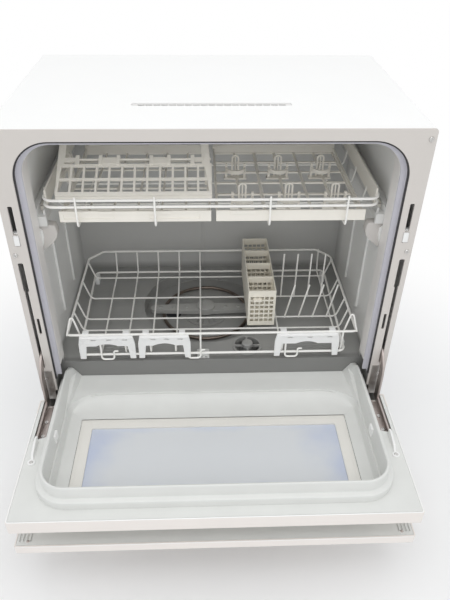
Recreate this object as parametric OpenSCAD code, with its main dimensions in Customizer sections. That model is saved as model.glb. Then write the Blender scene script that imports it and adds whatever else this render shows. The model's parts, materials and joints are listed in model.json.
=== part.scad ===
// Compact dishwasher that stands on a worktop, modelled with both doors open.
// The upper door hangs on two gooseneck arms that turn on pins deep in the side gaps.
// The lower door turns on its own low pins, and both doors swing together.
// Two wire racks slide out of the moulded tub, over the open doors.

/* [Cabinet] */
// Width of the cabinet
cabinet_w = 550; // [540:2:580]
// Depth of the cabinet behind its front face
cabinet_d = 344; // [340:2:380]
// Height from the worktop to the top of the cover
cabinet_h = 598; // [590:2:620]
// Thickness of the steel side and back panels
panel_t = 1.6; // [1:0.2:2.4]
// Thickness of the moulded top cover
cover_t = 3; // [2:0.5:4]
// Depth of the skirt that the top cover turns down over the panels
cover_skirt = 14; // [8:1:20]
// Thickness of the front frame
frame_t = 3; // [2:0.5:4]
// Width of the front frame beside the tub opening
side_frame = 25; // [22:0.5:30]
// Width of the front frame above the tub opening
top_frame = 15; // [12:0.5:20]
// Height of the feet
foot_h = 12; // [8:1:16]
// Radius of a foot
foot_r = 16; // [10:1:20]

/* [Tub] */
// Radius of the upper corners of the tub opening
opening_r = 50; // [35:1:60]
// Wall thickness of the tub
tub_wall = 2; // [1.5:0.5:2.5]
// Height of the tub floor above the worktop
floor_z = 200; // [196:1:204]
// Thickness of the tub floor
floor_t = 3; // [2:0.5:4]
// Distance from the front face to the tub sill
sill_y = 34; // [33:1:40]
// Distance from the front face to the inside of the tub back wall
tub_back_y = 315; // [310:1:320]
// Radius of the round well in the floor where the spray arm turns
well_r = 112; // [100:1:115]
// Depth of that well
well_depth = 24; // [20:1:30]
// Thickness of the rubber gasket round the opening
gasket_t = 2; // [1:0.5:3]
// Depth of the gasket, front to back
gasket_d = 12; // [11:0.5:16]
// Width of the gasket's face that the upper liner's ledge meets
seal_w = 8; // [6:0.5:8]
// How far the tub's front rim stands in from the opening
rim_in = 8.5; // [8:0.5:10]
// Depth of that rim, front to back
rim_d = 27; // [20:1:27]

/* [Doors] */
// Height of the open upper door's inner face above the worktop
door_open_z = 165; // [163:1:168]
// Distance from the front face back to the pivot of the upper door
pivot_y = 97; // [95:1:99]
// Gap between the closed doors and the front face
door_gap = 2; // [1.5:0.5:3]
// Distance from the front face to the hinge edge of the open upper door
door_tail = 17; // [14:1:19]
// Thickness of the upper door
upper_door_t = 22; // [18:1:24]
// Finger gap between the two closed doors
grip_gap = 17; // [17:1:20]
// Thickness of the lower door
lower_door_t = 15; // [12:1:16]
// Distance from the front face back to the lower door's pins
low_pin_y = 9; // [8:1:11]
// Height of the lower door's pins
low_pin_z = 118; // [116:1:120]
// How far the lower door's pan reaches past its pins
low_tail = 14; // [10:1:15]
// Sheet thickness of the door pans
pan_t = 2; // [1.5:0.5:2.5]
// Thickness of the moulded door liners
liner_t = 3; // [2.5:0.5:4]
// Height of the upper liner's wall above the inner face
lip_h = 32; // [26:1:34]
// Height of the ledge round that wall
ledge_h = 13; // [8:1:15]
// Width of the ledge
ledge_w = 8; // [5:1:10]
// Depth of the basin below the inner face
basin_depth = 13; // [10:1:14]
// How far the lower door's liner stands proud
low_liner_h = 26; // [15:1:27]
// Distance from the side of the tub opening to the clear window
window_side = 62; // [60:1:80]
// Distance from the free edge of the upper door to the clear window
window_near_gap = 59; // [57:1:75]
// Distance from the hinge edge of the upper door to the clear window
window_far_gap = 49; // [47:1:60]
// Width of the pale border round the window
window_border = 18; // [10:1:20]
// Thickness of the window panes
pane_t = 3; // [2:0.5:4]

/* [Hinges] */
// Thickness of the steel arms, ears and brackets
steel_t = 3; // [2:0.5:3]
// Width of a gooseneck arm
arm_w = 16; // [12:1:18]
// Radius of the arm's elbow on its middle line
elbow_r = 34; // [30:1:38]
// Drop of the elbow's centre below the pivot
elbow_drop = 58; // [52:1:60]
// Radius of every hinge pin
pin_r = 4; // [3:0.5:5]
// Radial running clearance on the pins
pin_gap = 0.05; // [0.02:0.01:0.1]

/* [Racks] */
// Diameter of the rack rails
rail_d = 4; // [3:0.5:5]
// Diameter of the thinner rack wires
wire_d = 3; // [2.5:0.5:3.5]
// Distance from the side of the tub opening to the upper rack
upper_rack_gap = 17; // [16:0.5:22]
// Drop of the upper rack's top rail below the top of the opening
upper_rail_drop = 101; // [96:1:105]
// Distance from the front face to the upper rack
upper_rack_y = 46; // [44:1:52]
// Length of the upper rack, front to back
upper_rack_l = 254; // [240:2:258]
// Distance from the side of the tub opening to the lower rack
lower_rack_gap = 21; // [20:0.5:28]
// Distance from the front face to the lower rack
lower_rack_y = 36; // [36:1:40]
// Length of the lower rack, front to back
lower_rack_l = 246; // [230:2:250]
// Height of the lower rack's front rail
lower_rail_z = 276; // [268:1:284]
// Drop of the back rail below the front rail
rail_drop = 20; // [10:1:26]
// Columns of openings in the cup shelf
shelf_columns = 12; // [8:1:14]
// Tines in each row for plates
tine_count = 4; // [3:1:5]
// Distance between tines
tine_pitch = 24.5; // [20:0.5:26]

/* [Controls and services] */
// Radius of a round push button
button_r = 6; // [4:0.5:8]
// Travel of a button
button_travel = 2; // [1:0.5:3]
// Radius of the water inlet's pipe thread, G1/2
inlet_r = 10.48; // [9:0.02:12]
// Radius of the drain spigot
drain_r = 9; // [7:0.5:11]
// Radius of the hole in the cord gland
cord_hole_r = 4; // [3:0.5:5]

/* [Hidden] */
$fn = 48;
// Sides of a hull's own round pieces
hull_sides = 32;
// Sides of a rack wire
wire_sides = 8;
// Overcut, so that no two faces of a cut lie in one plane
cut = 1;
// Clearance between pieces that are assembled and stay put
fit = 0.3;

// The doors' pivots and their open and closed places follow from the two openings
half_w = cabinet_w / 2;
opening_w = cabinet_w - 2 * side_frame;
opening_top = cabinet_h - top_frame;
half_open = opening_w / 2;
pivot_z = door_open_z + pivot_y + door_gap;
closed_sum = pivot_y + pivot_z;
free_y = closed_sum - cabinet_h;
tail_y = -door_tail;
upper_door_h = tail_y - free_y;
low_open_z = low_pin_z - low_pin_y - door_gap;
low_top = cabinet_h - upper_door_h - grip_gap;
low_free_y = low_pin_y + low_pin_z - low_top;
// The open doors reach in front of the cabinet, and the origin is under the middle of both
front_y = -(cabinet_d + free_y) / 2;

base_top = 86;
frame_foot_z = 170;
wall_in = half_w - panel_t;
upper_rack_w = opening_w - 2 * upper_rack_gap;
lower_rack_w = opening_w - 2 * lower_rack_gap;
upper_rail_z = opening_top - upper_rail_drop;
// The upper liner enters the opening with the gasket's thickness and this clearance
liner_gap = 1.5;
liner_inset = gasket_t + liner_gap;
lip_half = half_open - liner_inset - ledge_w;
lip_wall = 5;
apron_y = 27;
apron_z = door_open_z + door_gap;
basin_z = door_open_z - basin_depth;
step_y = -4;
window_w = opening_w - 2 * window_side;
window_far_y = tail_y - window_far_gap;
window_l = window_far_y - free_y - window_near_gap;
// The hinge plates share the narrow gap between the tub and the side panels
bracket_x = half_open + tub_wall + 1;
arm_x = half_w - 10.5;
ear_x = bracket_x + steel_t + 1;
slot_w = steel_t + 2;
// The strainer, the well and the cutlery basket keep their distance from the right wall
filter_x = half_open - 192;
filter_y = sill_y + 33;
filter_r = 24;
spray_x = filter_x - 68;
spray_y = filter_y + 123;
connection_y = cabinet_d - 26;
connection_z = 52;

module at_front() { translate([0, front_y, 0]) children(); }

module box_from(low, high) {
    translate(low) cube(high - low);
}

// A box, and its mirror image on the other side of the middle plane
module both_sides() {
    children();
    mirror([1, 0, 0]) children();
}

module side(sign) {
    if (sign < 0) mirror([1, 0, 0]) children();
    else children();
}

// Rectangle with four round corners, from one corner to the other
module round_rect(low, high, r) {
    translate([low.x + r, low.y]) square([high.x - low.x - 2 * r, high.y - low.y]);
    translate([low.x, low.y + r]) square([high.x - low.x, high.y - low.y - 2 * r]);
    for (x = [low.x + r, high.x - r], y = [low.y + r, high.y - r])
        translate([x, y]) circle(r);
}

// Rectangle whose two upper corners are round
module arch(low, high, r) {
    translate(low) square([high.x - low.x, high.y - low.y - r]);
    translate([low.x + r, low.y]) square([high.x - low.x - 2 * r, high.y - low.y]);
    for (x = [low.x + r, high.x - r]) translate([x, high.y - r]) circle(r);
}

// Cylinders that start at a point and run up, to the right or to the front
module drum(at, h, r) {
    translate(at) cylinder(h = h, r = r);
}
module drum_x(at, h, r) {
    translate(at) rotate([0, 90, 0]) cylinder(h = h, r = r);
}
module drum_y(at, h, r) {
    translate(at) rotate([90, 0, 0]) cylinder(h = h, r = r);
}

// Extrude a profile drawn in X and Z from one depth to another
module along_y(from, to) {
    translate([0, to, 0]) rotate([90, 0, 0]) linear_extrude(to - from) children();
}

// Extrude a profile drawn in Y and Z from one side to another
module along_x(from, to) {
    translate([from, 0, 0]) rotate([90, 0, 90]) linear_extrude(to - from) children();
}

module rod(from, to, d, sides = 48) {
    v = to - from;
    l = norm(v);
    translate(from)
        rotate([0, acos(v.z / l), atan2(v.y, v.x)])
            cylinder(h = l, d = d, $fn = sides);
}

// A bent wire: straight lengths that overlap at each bend. Every second one is a hair
// thicker, so that no edge of one lies along an edge of the next.
hair = 0.03;
module wire(points, d) {
    for (i = [0 : len(points) - 2]) {
        v = points[i + 1] - points[i];
        over = v / norm(v) * d * 0.35;
        rod(points[i] - over, points[i + 1] + over, d + hair * (i % 2), wire_sides);
    }
}

// Points of a quarter bend between two directions, for a wire
function bend(centre, r, a0, a1, z, steps = 4) =
    [for (i = [0 : steps]) let(a = a0 + (a1 - a0) * i / steps)
        [centre.x + r * cos(a), centre.y + r * sin(a), z]];

module screw_head(r, h, slot = 0.8) {
    difference() {
        cylinder(h = h, r1 = r, r2 = r * 0.8);
        for (a = [0, 90]) rotate([0, 0, a])
            translate([-r * 0.6, -slot / 2, h * 0.4]) cube([r * 1.2, slot, h]);
    }
}

// Casing

module top_cover() {
    color("white") at_front() difference() {
        along_y(frame_t, cabinet_d) arch([-half_w, cabinet_h - cover_skirt], [half_w, cabinet_h], 4);
        box_from([-wall_in, frame_t - cut, 0],
            [wall_in, cabinet_d - panel_t - fit, cabinet_h - cover_t]);
        both_sides() box_from([wall_in - cut, frame_t - cut, 0],
            [half_w + cut, cabinet_d + cut, cabinet_h - cover_skirt]);
        box_from([-half_w, cabinet_d - panel_t - fit - cut, 0],
            [half_w, cabinet_d + cut, cabinet_h - cover_skirt + fit]);
        vent_slot(cabinet_h - cover_t - cut, cabinet_h + cut, 0);
    }
}

vent_w = 212;
vent_l = 11;
vent_y = 93;
module vent_slot(low, high, gap) {
    translate([0, 0, low]) linear_extrude(high - low)
        round_rect([-vent_w / 2 + gap, vent_y - vent_l / 2 + gap],
            [vent_w / 2 - gap, vent_y + vent_l / 2 - gap], 3);
}

vent_drop = 5;
vent_fin = 1.6;
vent_pitch = 10.4;
module vent_grille() {
    color("gainsboro") at_front() difference() {
        union() {
            vent_slot(cabinet_h - cover_t - vent_drop, cabinet_h - 1, fit);
            translate([0, 0, cabinet_h - cover_t - vent_drop]) linear_extrude(vent_drop)
                round_rect([-vent_w / 2 - 5, vent_y - vent_l / 2 - 5],
                    [vent_w / 2 + 5, vent_y + vent_l / 2 + 5], 4);
        }
        for (i = [-9 : 9])
            box_from([i * vent_pitch - vent_pitch / 2 + vent_fin / 2, vent_y - 2.5, cabinet_h - 20],
                [i * vent_pitch + vent_pitch / 2 - vent_fin / 2, vent_y + 2.5, cabinet_h + cut]);
    }
}

panel_top = cabinet_h - cover_skirt;
module side_panel(sign) {
    color("whitesmoke") at_front() side(sign) {
        box_from([wall_in, frame_t, foot_h], [half_w, cabinet_d - panel_t - fit, panel_top]);
        box_from([wall_in - 10, cabinet_d - panel_t * 2 - fit, base_pan_top + fit],
            [wall_in + panel_t / 2, cabinet_d - panel_t - fit, panel_top - 10]);
    }
}
module side_panel_left() { side_panel(-1); }
module side_panel_right() { side_panel(1); }

louvre_w = 60;
louvre_h = 3.5;
louvre_z = 60;
louvre_pitch = 11;
// The recess for the pipes, from side to side
service_in = half_w - 209;
service_out = half_w - 21;
module back_panel() {
    color("whitesmoke") at_front() difference() {
        box_from([-half_w, cabinet_d - panel_t, foot_h], [half_w, cabinet_d, panel_top]);
        // The pipes and the cord come out through one window above the base
        along_y(cabinet_d - panel_t - cut, cabinet_d + cut)
            round_rect([service_in + 4, connection_z - 30], [service_out - 4, connection_z + 34], 6);
        for (i = [0 : 6], x = [-half_w + 65, -half_w + 145])
            along_y(cabinet_d - panel_t - cut, cabinet_d + cut)
                round_rect([x, louvre_z + i * louvre_pitch],
                    [x + louvre_w, louvre_z + i * louvre_pitch + louvre_h], louvre_h / 2 - 0.05);
    }
}

// The hooks of the closed door reach into these slots, and the arms swing through the slits
slot_x = half_w - 13;
hook_near_y = -134;
hook_far_y = -99;
slot_low = closed_sum - hook_far_y - 5;
slot_high = closed_sum - hook_near_y + 2;
tab_low = slot_low - 17;
slit_low = 218;
slit_wide_z = closed_sum + 2;
slit_high = closed_sum + 50;
small_slot_x = half_w - 18;
small_slot_z = 286;
small_slot_h = 29;
module front_frame() {
    color("#d2cdc8") at_front() difference() {
        union() {
            along_y(0, frame_t) arch([-half_w, frame_foot_z], [half_w, cabinet_h], 4);
            // A rib behind the top edge that the cover lies against
            box_from([-half_open, frame_t - cut, opening_top + 4],
                [half_open, frame_t + 8, opening_top + 7]);
        }
        along_y(-cut, frame_t + cut)
            arch([-half_open, frame_foot_z - cut], [half_open, opening_top], opening_r);
        both_sides() {
            along_y(-cut, frame_t + cut) {
                round_rect([slot_x - 3, slot_low], [slot_x + 3, slot_high], 1.5);
                round_rect([arm_x - slot_w / 2, slit_low], [arm_x + slot_w / 2, slit_high], 2);
                round_rect([arm_x - slot_w / 2 - 1.5, slit_wide_z],
                    [arm_x + slot_w / 2 + 1, slit_high], 2);
                round_rect([small_slot_x - 2, small_slot_z],
                    [small_slot_x + 2, small_slot_z + small_slot_h], 1.5);
                round_rect([slot_x - 4, tab_low], [slot_x + 4, slot_low - fit * 2], 1);
            }
            for (z = frame_screw_z) drum_y([frame_screw_x, frame_t + cut, z], frame_t * 2, 2.2);
            drum_y([bracket_tab_x, frame_t + cut, bracket_tab_z], frame_t * 2, 2.2);
        }
    }
}

frame_screw_x = half_w - 7;
frame_screw_z = [cabinet_h - 13, slit_high + 13];
module frame_screws() {
    color("silver") at_front() both_sides() {
        for (z = frame_screw_z) translate([frame_screw_x, 0, z]) rotate([90, 0, 0]) {
            screw_head(3.6, 1.4);
            drum([0, 0, -frame_t - 6], frame_t + 6, 1.9);
        }
        translate([bracket_tab_x, -bracket_tab_t, bracket_tab_z]) rotate([90, 0, 0]) {
            screw_head(3.2, 0.4, 0.6);
            drum([0, 0, -8], 8, 1.9);
        }
    }
}

// White latch pieces that fill the wide foot of each hook slot
module slot_tabs() {
    color("white") at_front() both_sides() {
        along_y(-0.8, frame_t + 6)
            round_rect([slot_x - 3.6, tab_low + 1], [slot_x + 3.6, slot_low - 1], 1);
        box_from([slot_x - 7, frame_t + fit, tab_low - 2], [slot_x + 7, frame_t + 6, slot_low + 2]);
    }
}

base_floor_t = 3;
base_pan_top = 45;
module base_pan() {
    color("#c9c8c5") at_front() {
        difference() {
            box_from([-wall_in + fit, frame_t, foot_h],
                [wall_in - fit, cabinet_d - panel_t - fit, base_pan_top]);
            box_from([-wall_in + 3, frame_t + 3, foot_h + base_floor_t],
                [wall_in - 3, cabinet_d - panel_t - 3, base_pan_top + cut]);
            box_from([service_in, connection_y, foot_h + base_floor_t],
                [service_out, cabinet_d + cut, base_pan_top + cut]);
            both_sides() for (y = foot_y) drum([foot_x, y, 0], 30, 4 + fit);
        }
        // Wall that carries the pipe connections, set in from the back panel
        difference() {
            box_from([service_in, connection_y - 3, foot_h + 1],
                [service_out, connection_y, connection_z + 34]);
            for (p = [[inlet_x, inlet_r + collar_step], [drain_x, drain_r + collar_step],
                [cord_x, gland_r]])
                translate([p[0], connection_y - 5, connection_z]) rotate([-90, 0, 0])
                    cylinder(h = 8, r = p[1] + fit);
        }
        // Struts under the tub
        for (x = [-half_w + 75, spray_x + 70, half_w - 32])
            strut(x, tub_back_y - 19);
        for (x = [-half_w + 75, half_w - 70]) strut(x, sill_y + 22);
    }
}

strut_w = 12;
module strut(x, y) {
    box_from([x - strut_w / 2, y, foot_h + 1], [x + strut_w / 2, y + strut_w, floor_z - floor_t]);
}

front_d = 17;
front_t = 3;
button_z = 48;
start_x = half_w - 50;
power_x = start_x - 40;
button_pitch = 34;
power_w = 14;
module base_front() {
    color("white") at_front() {
        fascia();
        for (x = [start_x - 119, start_x - 50], z = [foot_h + 14, base_top - 12])
            drum_y([x, -1.1, z], front_d - front_t - 1, 2.5);
    }
}

module fascia() {
    difference() {
        along_x(-half_w, half_w)
            polygon([[frame_t - fit, foot_h], [-front_d + 4, foot_h], [-front_d, foot_h + 4],
                [-front_d, base_top - 3], [-front_d + 3, base_top], [frame_t - fit, base_top]]);
        box_from([-half_w + front_t, -front_d + front_t, foot_h + front_t],
            [half_w - front_t, frame_t, base_top - front_t]);
        drum_y([start_x, 0, button_z], 30, 13 + fit);
        for (i = [0 : 2]) drum_y([power_x - i * button_pitch, 0, button_z], 30, button_r + fit);
        for (i = [0 : 5]) drum_y([lens_x(i), 0, button_z + 16], 30, 1.6);
    }
}

function lens_x(i) = power_x - button_pitch * 2.3 + i * 13;

module indicator_lenses() {
    color("honeydew") at_front() {
        for (i = [0 : 5]) translate([lens_x(i), -front_d - 0.3 + 6, button_z + 16])
            rotate([90, 0, 0]) {
                cylinder(h = 6, r = 1.5);
                drum([0, 0, -2], 3.2, 3);
            }
    }
}

// A round cap on a stem, which slides in the panel and switches the board behind it
module push_button(x, r) {
    color("gainsboro") at_front() translate([x, 0, button_z]) rotate([90, 0, 0]) {
        drum([0, 0, front_d - front_t - 1], front_t + 2.2, r);
        translate([0, 0, front_d + 1.2]) cylinder(h = 0.8, r1 = r, r2 = r - 0.8);
        drum([0, 0, front_d - front_t - button_travel - 1.5], 1.2 + 0.5, r + 1.5);
        drum([0, 0, 6], front_d - front_t - 6, 2);
    }
}
module start_button() { push_button(start_x, 13); }
module power_button() { push_button(power_x, button_r); }
module course_button() { push_button(power_x - button_pitch, button_r); }
module dry_button() { push_button(power_x - 2 * button_pitch, button_r); }

module control_board() {
    color("seagreen") at_front() {
        box_from([start_x - 125, -1, foot_h + 6], [start_x + 22, 0.6, base_top - 6]);
        for (x = [start_x, power_x, power_x - button_pitch, power_x - 2 * button_pitch])
            box_from([x - 4, -3.2, button_z - 4], [x + 4, -1, button_z + 4]);
    }
}

// Shelf and splash wall between the base and the tub, behind the lower door
splash_y = sill_y + 9;
sill_low = floor_z - 40;
module sill_cover() {
    color("#c9c8c5") at_front() along_x(-half_open, half_open)
        polygon([[frame_t, base_top - 6], [frame_t, base_top], [splash_y - 3, base_top],
            [splash_y, base_top + 3], [splash_y, sill_low - 3], [sill_y + floor_t, sill_low - 3],
            [sill_y + floor_t, sill_low], [splash_y + 3, sill_low], [splash_y + 3, base_top - 6]]);
}

foot_x = half_w - 43;
foot_y = [42, cabinet_d - 38];
module feet() {
    color("#8b8a88") at_front() both_sides() for (y = foot_y) translate([foot_x, y, 0]) {
        cylinder(h = 3, r1 = foot_r - 2, r2 = foot_r);
        drum([0, 0, 3], foot_h - 3, foot_r);
        // Stud that snaps through the floor of the base pan
        drum([0, 0, foot_h - cut], base_floor_t + cut + fit, 4);
        translate([0, 0, foot_h + base_floor_t + fit]) cylinder(h = 2, r1 = 5, r2 = 4);
    }
}

// Tub

rim_half = half_open - rim_in;
seal_y = frame_t + gasket_d;
seal_t = 3;
port_y = tub_back_y - 40;
port_z = 330;
module tub() {
    color("#8d8d89") at_front() {
        difference() {
            union() {
                along_y(frame_t, tub_back_y + tub_wall)
                    tub_section(tub_wall);
                box_from([-half_open - tub_wall, sill_y, sill_low],
                    [half_open + tub_wall, sill_y + floor_t, floor_z]);
                both_sides() box_from([half_open, frame_t, sill_low],
                    [half_open + tub_wall, sill_y + floor_t, floor_z + 25]);
                translate([spray_x, spray_y, floor_z - well_depth - floor_t])
                    cylinder(h = well_depth + floor_t, r = well_r + floor_t, $fn = 96);
                drum([filter_x, filter_y, floor_z - 32], 32, filter_r + 3);
            }
            difference() {
                along_y(frame_t - cut, tub_back_y) tub_section(0);
                // Front rim that the gasket leans on
                along_y(seal_y, seal_y + rim_d) difference() {
                    arch([-half_open - cut, floor_z - cut], [half_open + cut, opening_top + cut],
                        opening_r + cut);
                    gasket_arch(rim_in, floor_z - 2 * cut);
                }
                both_sides() side_ribs();
                floor_ribs();
            }
            // The floor stops at the sill, so that the upper door's liner can swing in
            box_from([-half_open, 0, sill_low - 10], [half_open, sill_y, floor_z + 12]);
            translate([spray_x, spray_y, floor_z - well_depth])
                cylinder(h = well_depth + cut, r = well_r, $fn = 96);
            drum([spray_x, spray_y, sump_z - 23], 40, 7 + fit);
            drum([filter_x, filter_y, floor_z - 30], 31, filter_r + 0.5);
            drum([filter_x, filter_y, floor_z - 40], 40, 8);
            // Outlet to the wash pump, in the wall of the well
            drum([spray_x - 60, spray_y, floor_z - well_depth - 10], 40, 14);
            // Air from the drying fan enters through the side wall
            drum_x([half_open - 10, port_y, port_z], 20, 14);
        }
    }
}

module tub_section(grow) {
    low = [-half_open - grow, floor_z - (grow > 0 ? floor_t : 0)];
    arch(low, [half_open + grow, opening_top + grow], opening_r + grow);
}

// Shallow upright ribs pressed into the side walls, and the swelling under each runner
module side_ribs() {
    for (y = [120, 210]) box_from([half_open - 3, y, floor_z + 40],
        [half_open + cut, y + 8, runner_z - 62]);
    along_y(seal_y + rim_d + 2, tub_back_y - 65)
        polygon([[half_open + cut, runner_z - 22], [half_open - 8, runner_z - 23],
            [half_open - 11, runner_z - 27], [half_open - 11, runner_z - 36],
            [half_open - 9, runner_z - 47], [half_open - 5, runner_z - 58],
            [half_open + cut, runner_z - 70]]);
}

module floor_ribs() {
    for (x = [-half_open + 50, half_open - 130]) for (i = [0 : 4])
        box_from([x, sill_y + 8 + i * 8, floor_z - cut], [x + 90, sill_y + 11 + i * 8, floor_z + 1.2]);
    // Upright seam in the middle of the back wall
    box_from([-17, tub_back_y - 1.5, floor_z], [-13, tub_back_y + cut, opening_top - 20]);
}

// Rubber band round the opening, with a face that the ledge of the upper liner meets
module tub_gasket() {
    color("#4a494d") at_front() difference() {
        along_y(0.6, seal_y - fit) gasket_arch(0.2, floor_z - 6);
        along_y(0, seal_y - fit - seal_t) gasket_arch(gasket_t, floor_z - 20);
        along_y(0, seal_y) gasket_arch(seal_w, floor_z - 20);
    }
}

module gasket_arch(inset, bottom) {
    arch([-half_open + inset, bottom], [half_open - inset, opening_top - inset], opening_r - inset);
}

// Slotted ring over the pump outlet and heater at the bottom of the well
module well_cover() {
    color("#a5a5a2") at_front() translate([spray_x, spray_y, floor_z - well_depth + 0.2]) difference() {
        cylinder(h = 2, r = 40);
        drum([0, 0, -cut], 4, 12);
        for (a = [0 : 20 : 340]) rotate([0, 0, a]) translate([18, -1, -cut]) cube([16, 2, 4]);
    }
}

module float_cover() {
    color("gainsboro") at_front() difference() {
        union() {
            box_from([-26, sill_y + 3, floor_z + 0.1], [-6, sill_y + 20, floor_z + 5.5]);
            box_from([-24, sill_y + 5, floor_z + 5], [-8, sill_y + 18, floor_z + 8]);
        }
        for (x = [-21, -13]) box_from([x, sill_y, floor_z + 1.2], [x + 4, sill_y + 9, floor_z + 4]);
    }
}

// Rails on the tub walls that the upper rack hangs its side strips in
runner_z = upper_rail_z - 20;
runner_y = seal_y + rim_d + 1;
// The strips of the rack have to pass the tub's front rim
strip_out = rim_half - 0.5;
strip_w = 5.4;
module runner(sign) {
    lip = strip_out - strip_w - fit;
    color("#cfd0ce") at_front() side(sign) {
        along_y(runner_y + 7, tub_back_y - 15)
            polygon([[half_open - fit, runner_z + 8], [half_open - fit, runner_z - 22],
                [half_open - 8, runner_z - 14], [lip - 3, runner_z - 6],
                [lip - 3, runner_z + 3], [lip, runner_z + 3],
                [lip, runner_z - 3], [strip_out + fit, runner_z - 3],
                [strip_out + fit, runner_z + 8]]);
        // Block that closes the front end of the rail
        box_from([lip - 5, runner_y, runner_z - 18], [half_open - 1, runner_y + 7, runner_z - 3]);
        box_from([strip_out + fit, runner_y, runner_z - 18],
            [half_open - fit, runner_y + 7, runner_z + 8]);
    }
}
module runner_left() { runner(-1); }
module runner_right() { runner(1); }

// Hinges

bracket_tab_t = 1.2;
bracket_tab_x = half_w - 10;
bracket_tab_z = 196;
// Side plate that holds both pins, with a tab screwed to the foot of the front frame
module hinge_bracket(sign) {
    color("#b9b7b4") at_front() side(sign) difference() {
        union() {
            along_x(bracket_x, bracket_x + steel_t) difference() {
                union() {
                    translate([pivot_y, pivot_z]) circle(15);
                    translate([low_pin_y, low_pin_z]) circle(9);
                    polygon([[low_pin_y - 9, low_pin_z], [low_pin_y - 9, 140], [-bracket_tab_t, 150],
                        [-bracket_tab_t, 166], [frame_t + 0.6, 167], [30, 200], [pivot_y - 15, pivot_z],
                        [pivot_y + 15, pivot_z], [pivot_y + 15, 130], [60, 48], [40, 48],
                        [low_pin_y + 9, low_pin_z]]);
                }
                translate([pivot_y - 10, 190]) circle(14);
                translate([55, 110]) circle(10);
            }
            box_from([bracket_x, -bracket_tab_t, 152], [bracket_x + 19, 0, 212]);
        }
        drum_x([bracket_x - cut, pivot_y, pivot_z], steel_t + 2 * cut, pin_r + pin_gap);
        drum_x([bracket_x - cut, low_pin_y, low_pin_z], steel_t + 2 * cut, pin_r + pin_gap);
        drum_y([bracket_tab_x, 1, bracket_tab_z], 4, 2.2);
    }
}
module hinge_bracket_left() { hinge_bracket(-1); }
module hinge_bracket_right() { hinge_bracket(1); }

// Shouldered pins: the long ones carry the arms, the short ones the lower door
module hinge_pins() {
    color("silver") at_front() both_sides() {
        translate([bracket_x - 0.8, pivot_y, pivot_z]) rotate([0, 90, 0]) {
            cylinder(h = arm_x + steel_t / 2 + 3 - bracket_x + 0.8, r = pin_r);
            cylinder(h = 0.7, r = pin_r + 3);
            drum([0, 0, steel_t + 0.9], arm_x - steel_t / 2 - 0.1 - bracket_x - steel_t - 0.1, pin_r + 3);
            drum([0, 0, arm_x + steel_t / 2 + 0.1 - bracket_x + 0.8], 1.5, pin_r + 3);
        }
        translate([bracket_x - 0.8, low_pin_y, low_pin_z]) rotate([0, 90, 0]) {
            cylinder(h = ear_x + steel_t + 2 - bracket_x + 0.8, r = pin_r);
            cylinder(h = 0.7, r = pin_r + 3);
            drum([0, 0, ear_x + steel_t + 0.1 - bracket_x + 0.8], 1.5, pin_r + 3);
        }
    }
}

// The elbow's centre in the arm's own plane, and the slope of the straight length to it
elbow_y = -15 + elbow_r;
elbow_z = pivot_z - elbow_drop;
elbow_reach = norm([pivot_y - elbow_y, elbow_drop]);
arm_slope = atan2(elbow_drop, pivot_y - elbow_y) - asin(elbow_r / elbow_reach);
arm_straight = sqrt(elbow_reach * elbow_reach - elbow_r * elbow_r);
foot_z = door_open_z - 12;
foot_end_y = tail_y - 81;
foot_screw_y = [foot_end_y + 14, foot_end_y + 42];
module hinge_arm(sign) {
    color("#8f8d8b") at_front() side(sign) {
        difference() {
            along_x(arm_x - steel_t / 2, arm_x + steel_t / 2) {
                difference() {
                    union() {
                        translate([pivot_y, pivot_z]) circle(11);
                        translate([pivot_y, pivot_z]) rotate(180 + arm_slope)
                            translate([0, -arm_w / 2]) square([arm_straight + 0.5, arm_w]);
                        // Quarter of a ring, cut off at the straight length and the upright one
                        intersection() {
                            translate([elbow_y, elbow_z]) difference() {
                                circle(elbow_r + arm_w / 2, $fn = 96);
                                circle(elbow_r - arm_w / 2, $fn = 96);
                            }
                            translate([elbow_y, elbow_z])
                                polygon([[0, 0], [-120, 0], [-120, 120], [-120 * sin(arm_slope),
                                    120 * cos(arm_slope)]]);
                        }
                        translate([elbow_y - elbow_r - arm_w / 2, foot_z])
                            square([arm_w, elbow_z - foot_z + 0.5]);
                        translate([foot_end_y, foot_z]) square([-foot_end_y - 8, 11]);
                    }
                    for (i = [0 : 2]) translate([foot_end_y + 10 + i * 26, foot_z + 6]) circle(2.4);
                }
            }
            drum_x([arm_x - 5, pivot_y, pivot_z], 10, pin_r + pin_gap);
        }
        // Foot channel that lies in the door's recess
        difference() {
            union() {
                box_from([arm_x - 13, foot_end_y, foot_z], [arm_x, tail_y - 7, foot_z + 2]);
                box_from([arm_x - 13, foot_end_y, foot_z], [arm_x - 11, tail_y - 13, foot_z + 10]);
            }
            for (y = foot_screw_y) drum([arm_x - 6, y, foot_z - cut], 4, 2.2);
            for (y = [foot_end_y + 24, foot_end_y + 48])
                box_from([arm_x - 15, y, foot_z + 4], [arm_x - 10, y + 10, foot_z + 8]);
        }
    }
}
module hinge_arm_left() { hinge_arm(-1); }
module hinge_arm_right() { hinge_arm(1); }

// Upper door, drawn open

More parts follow.
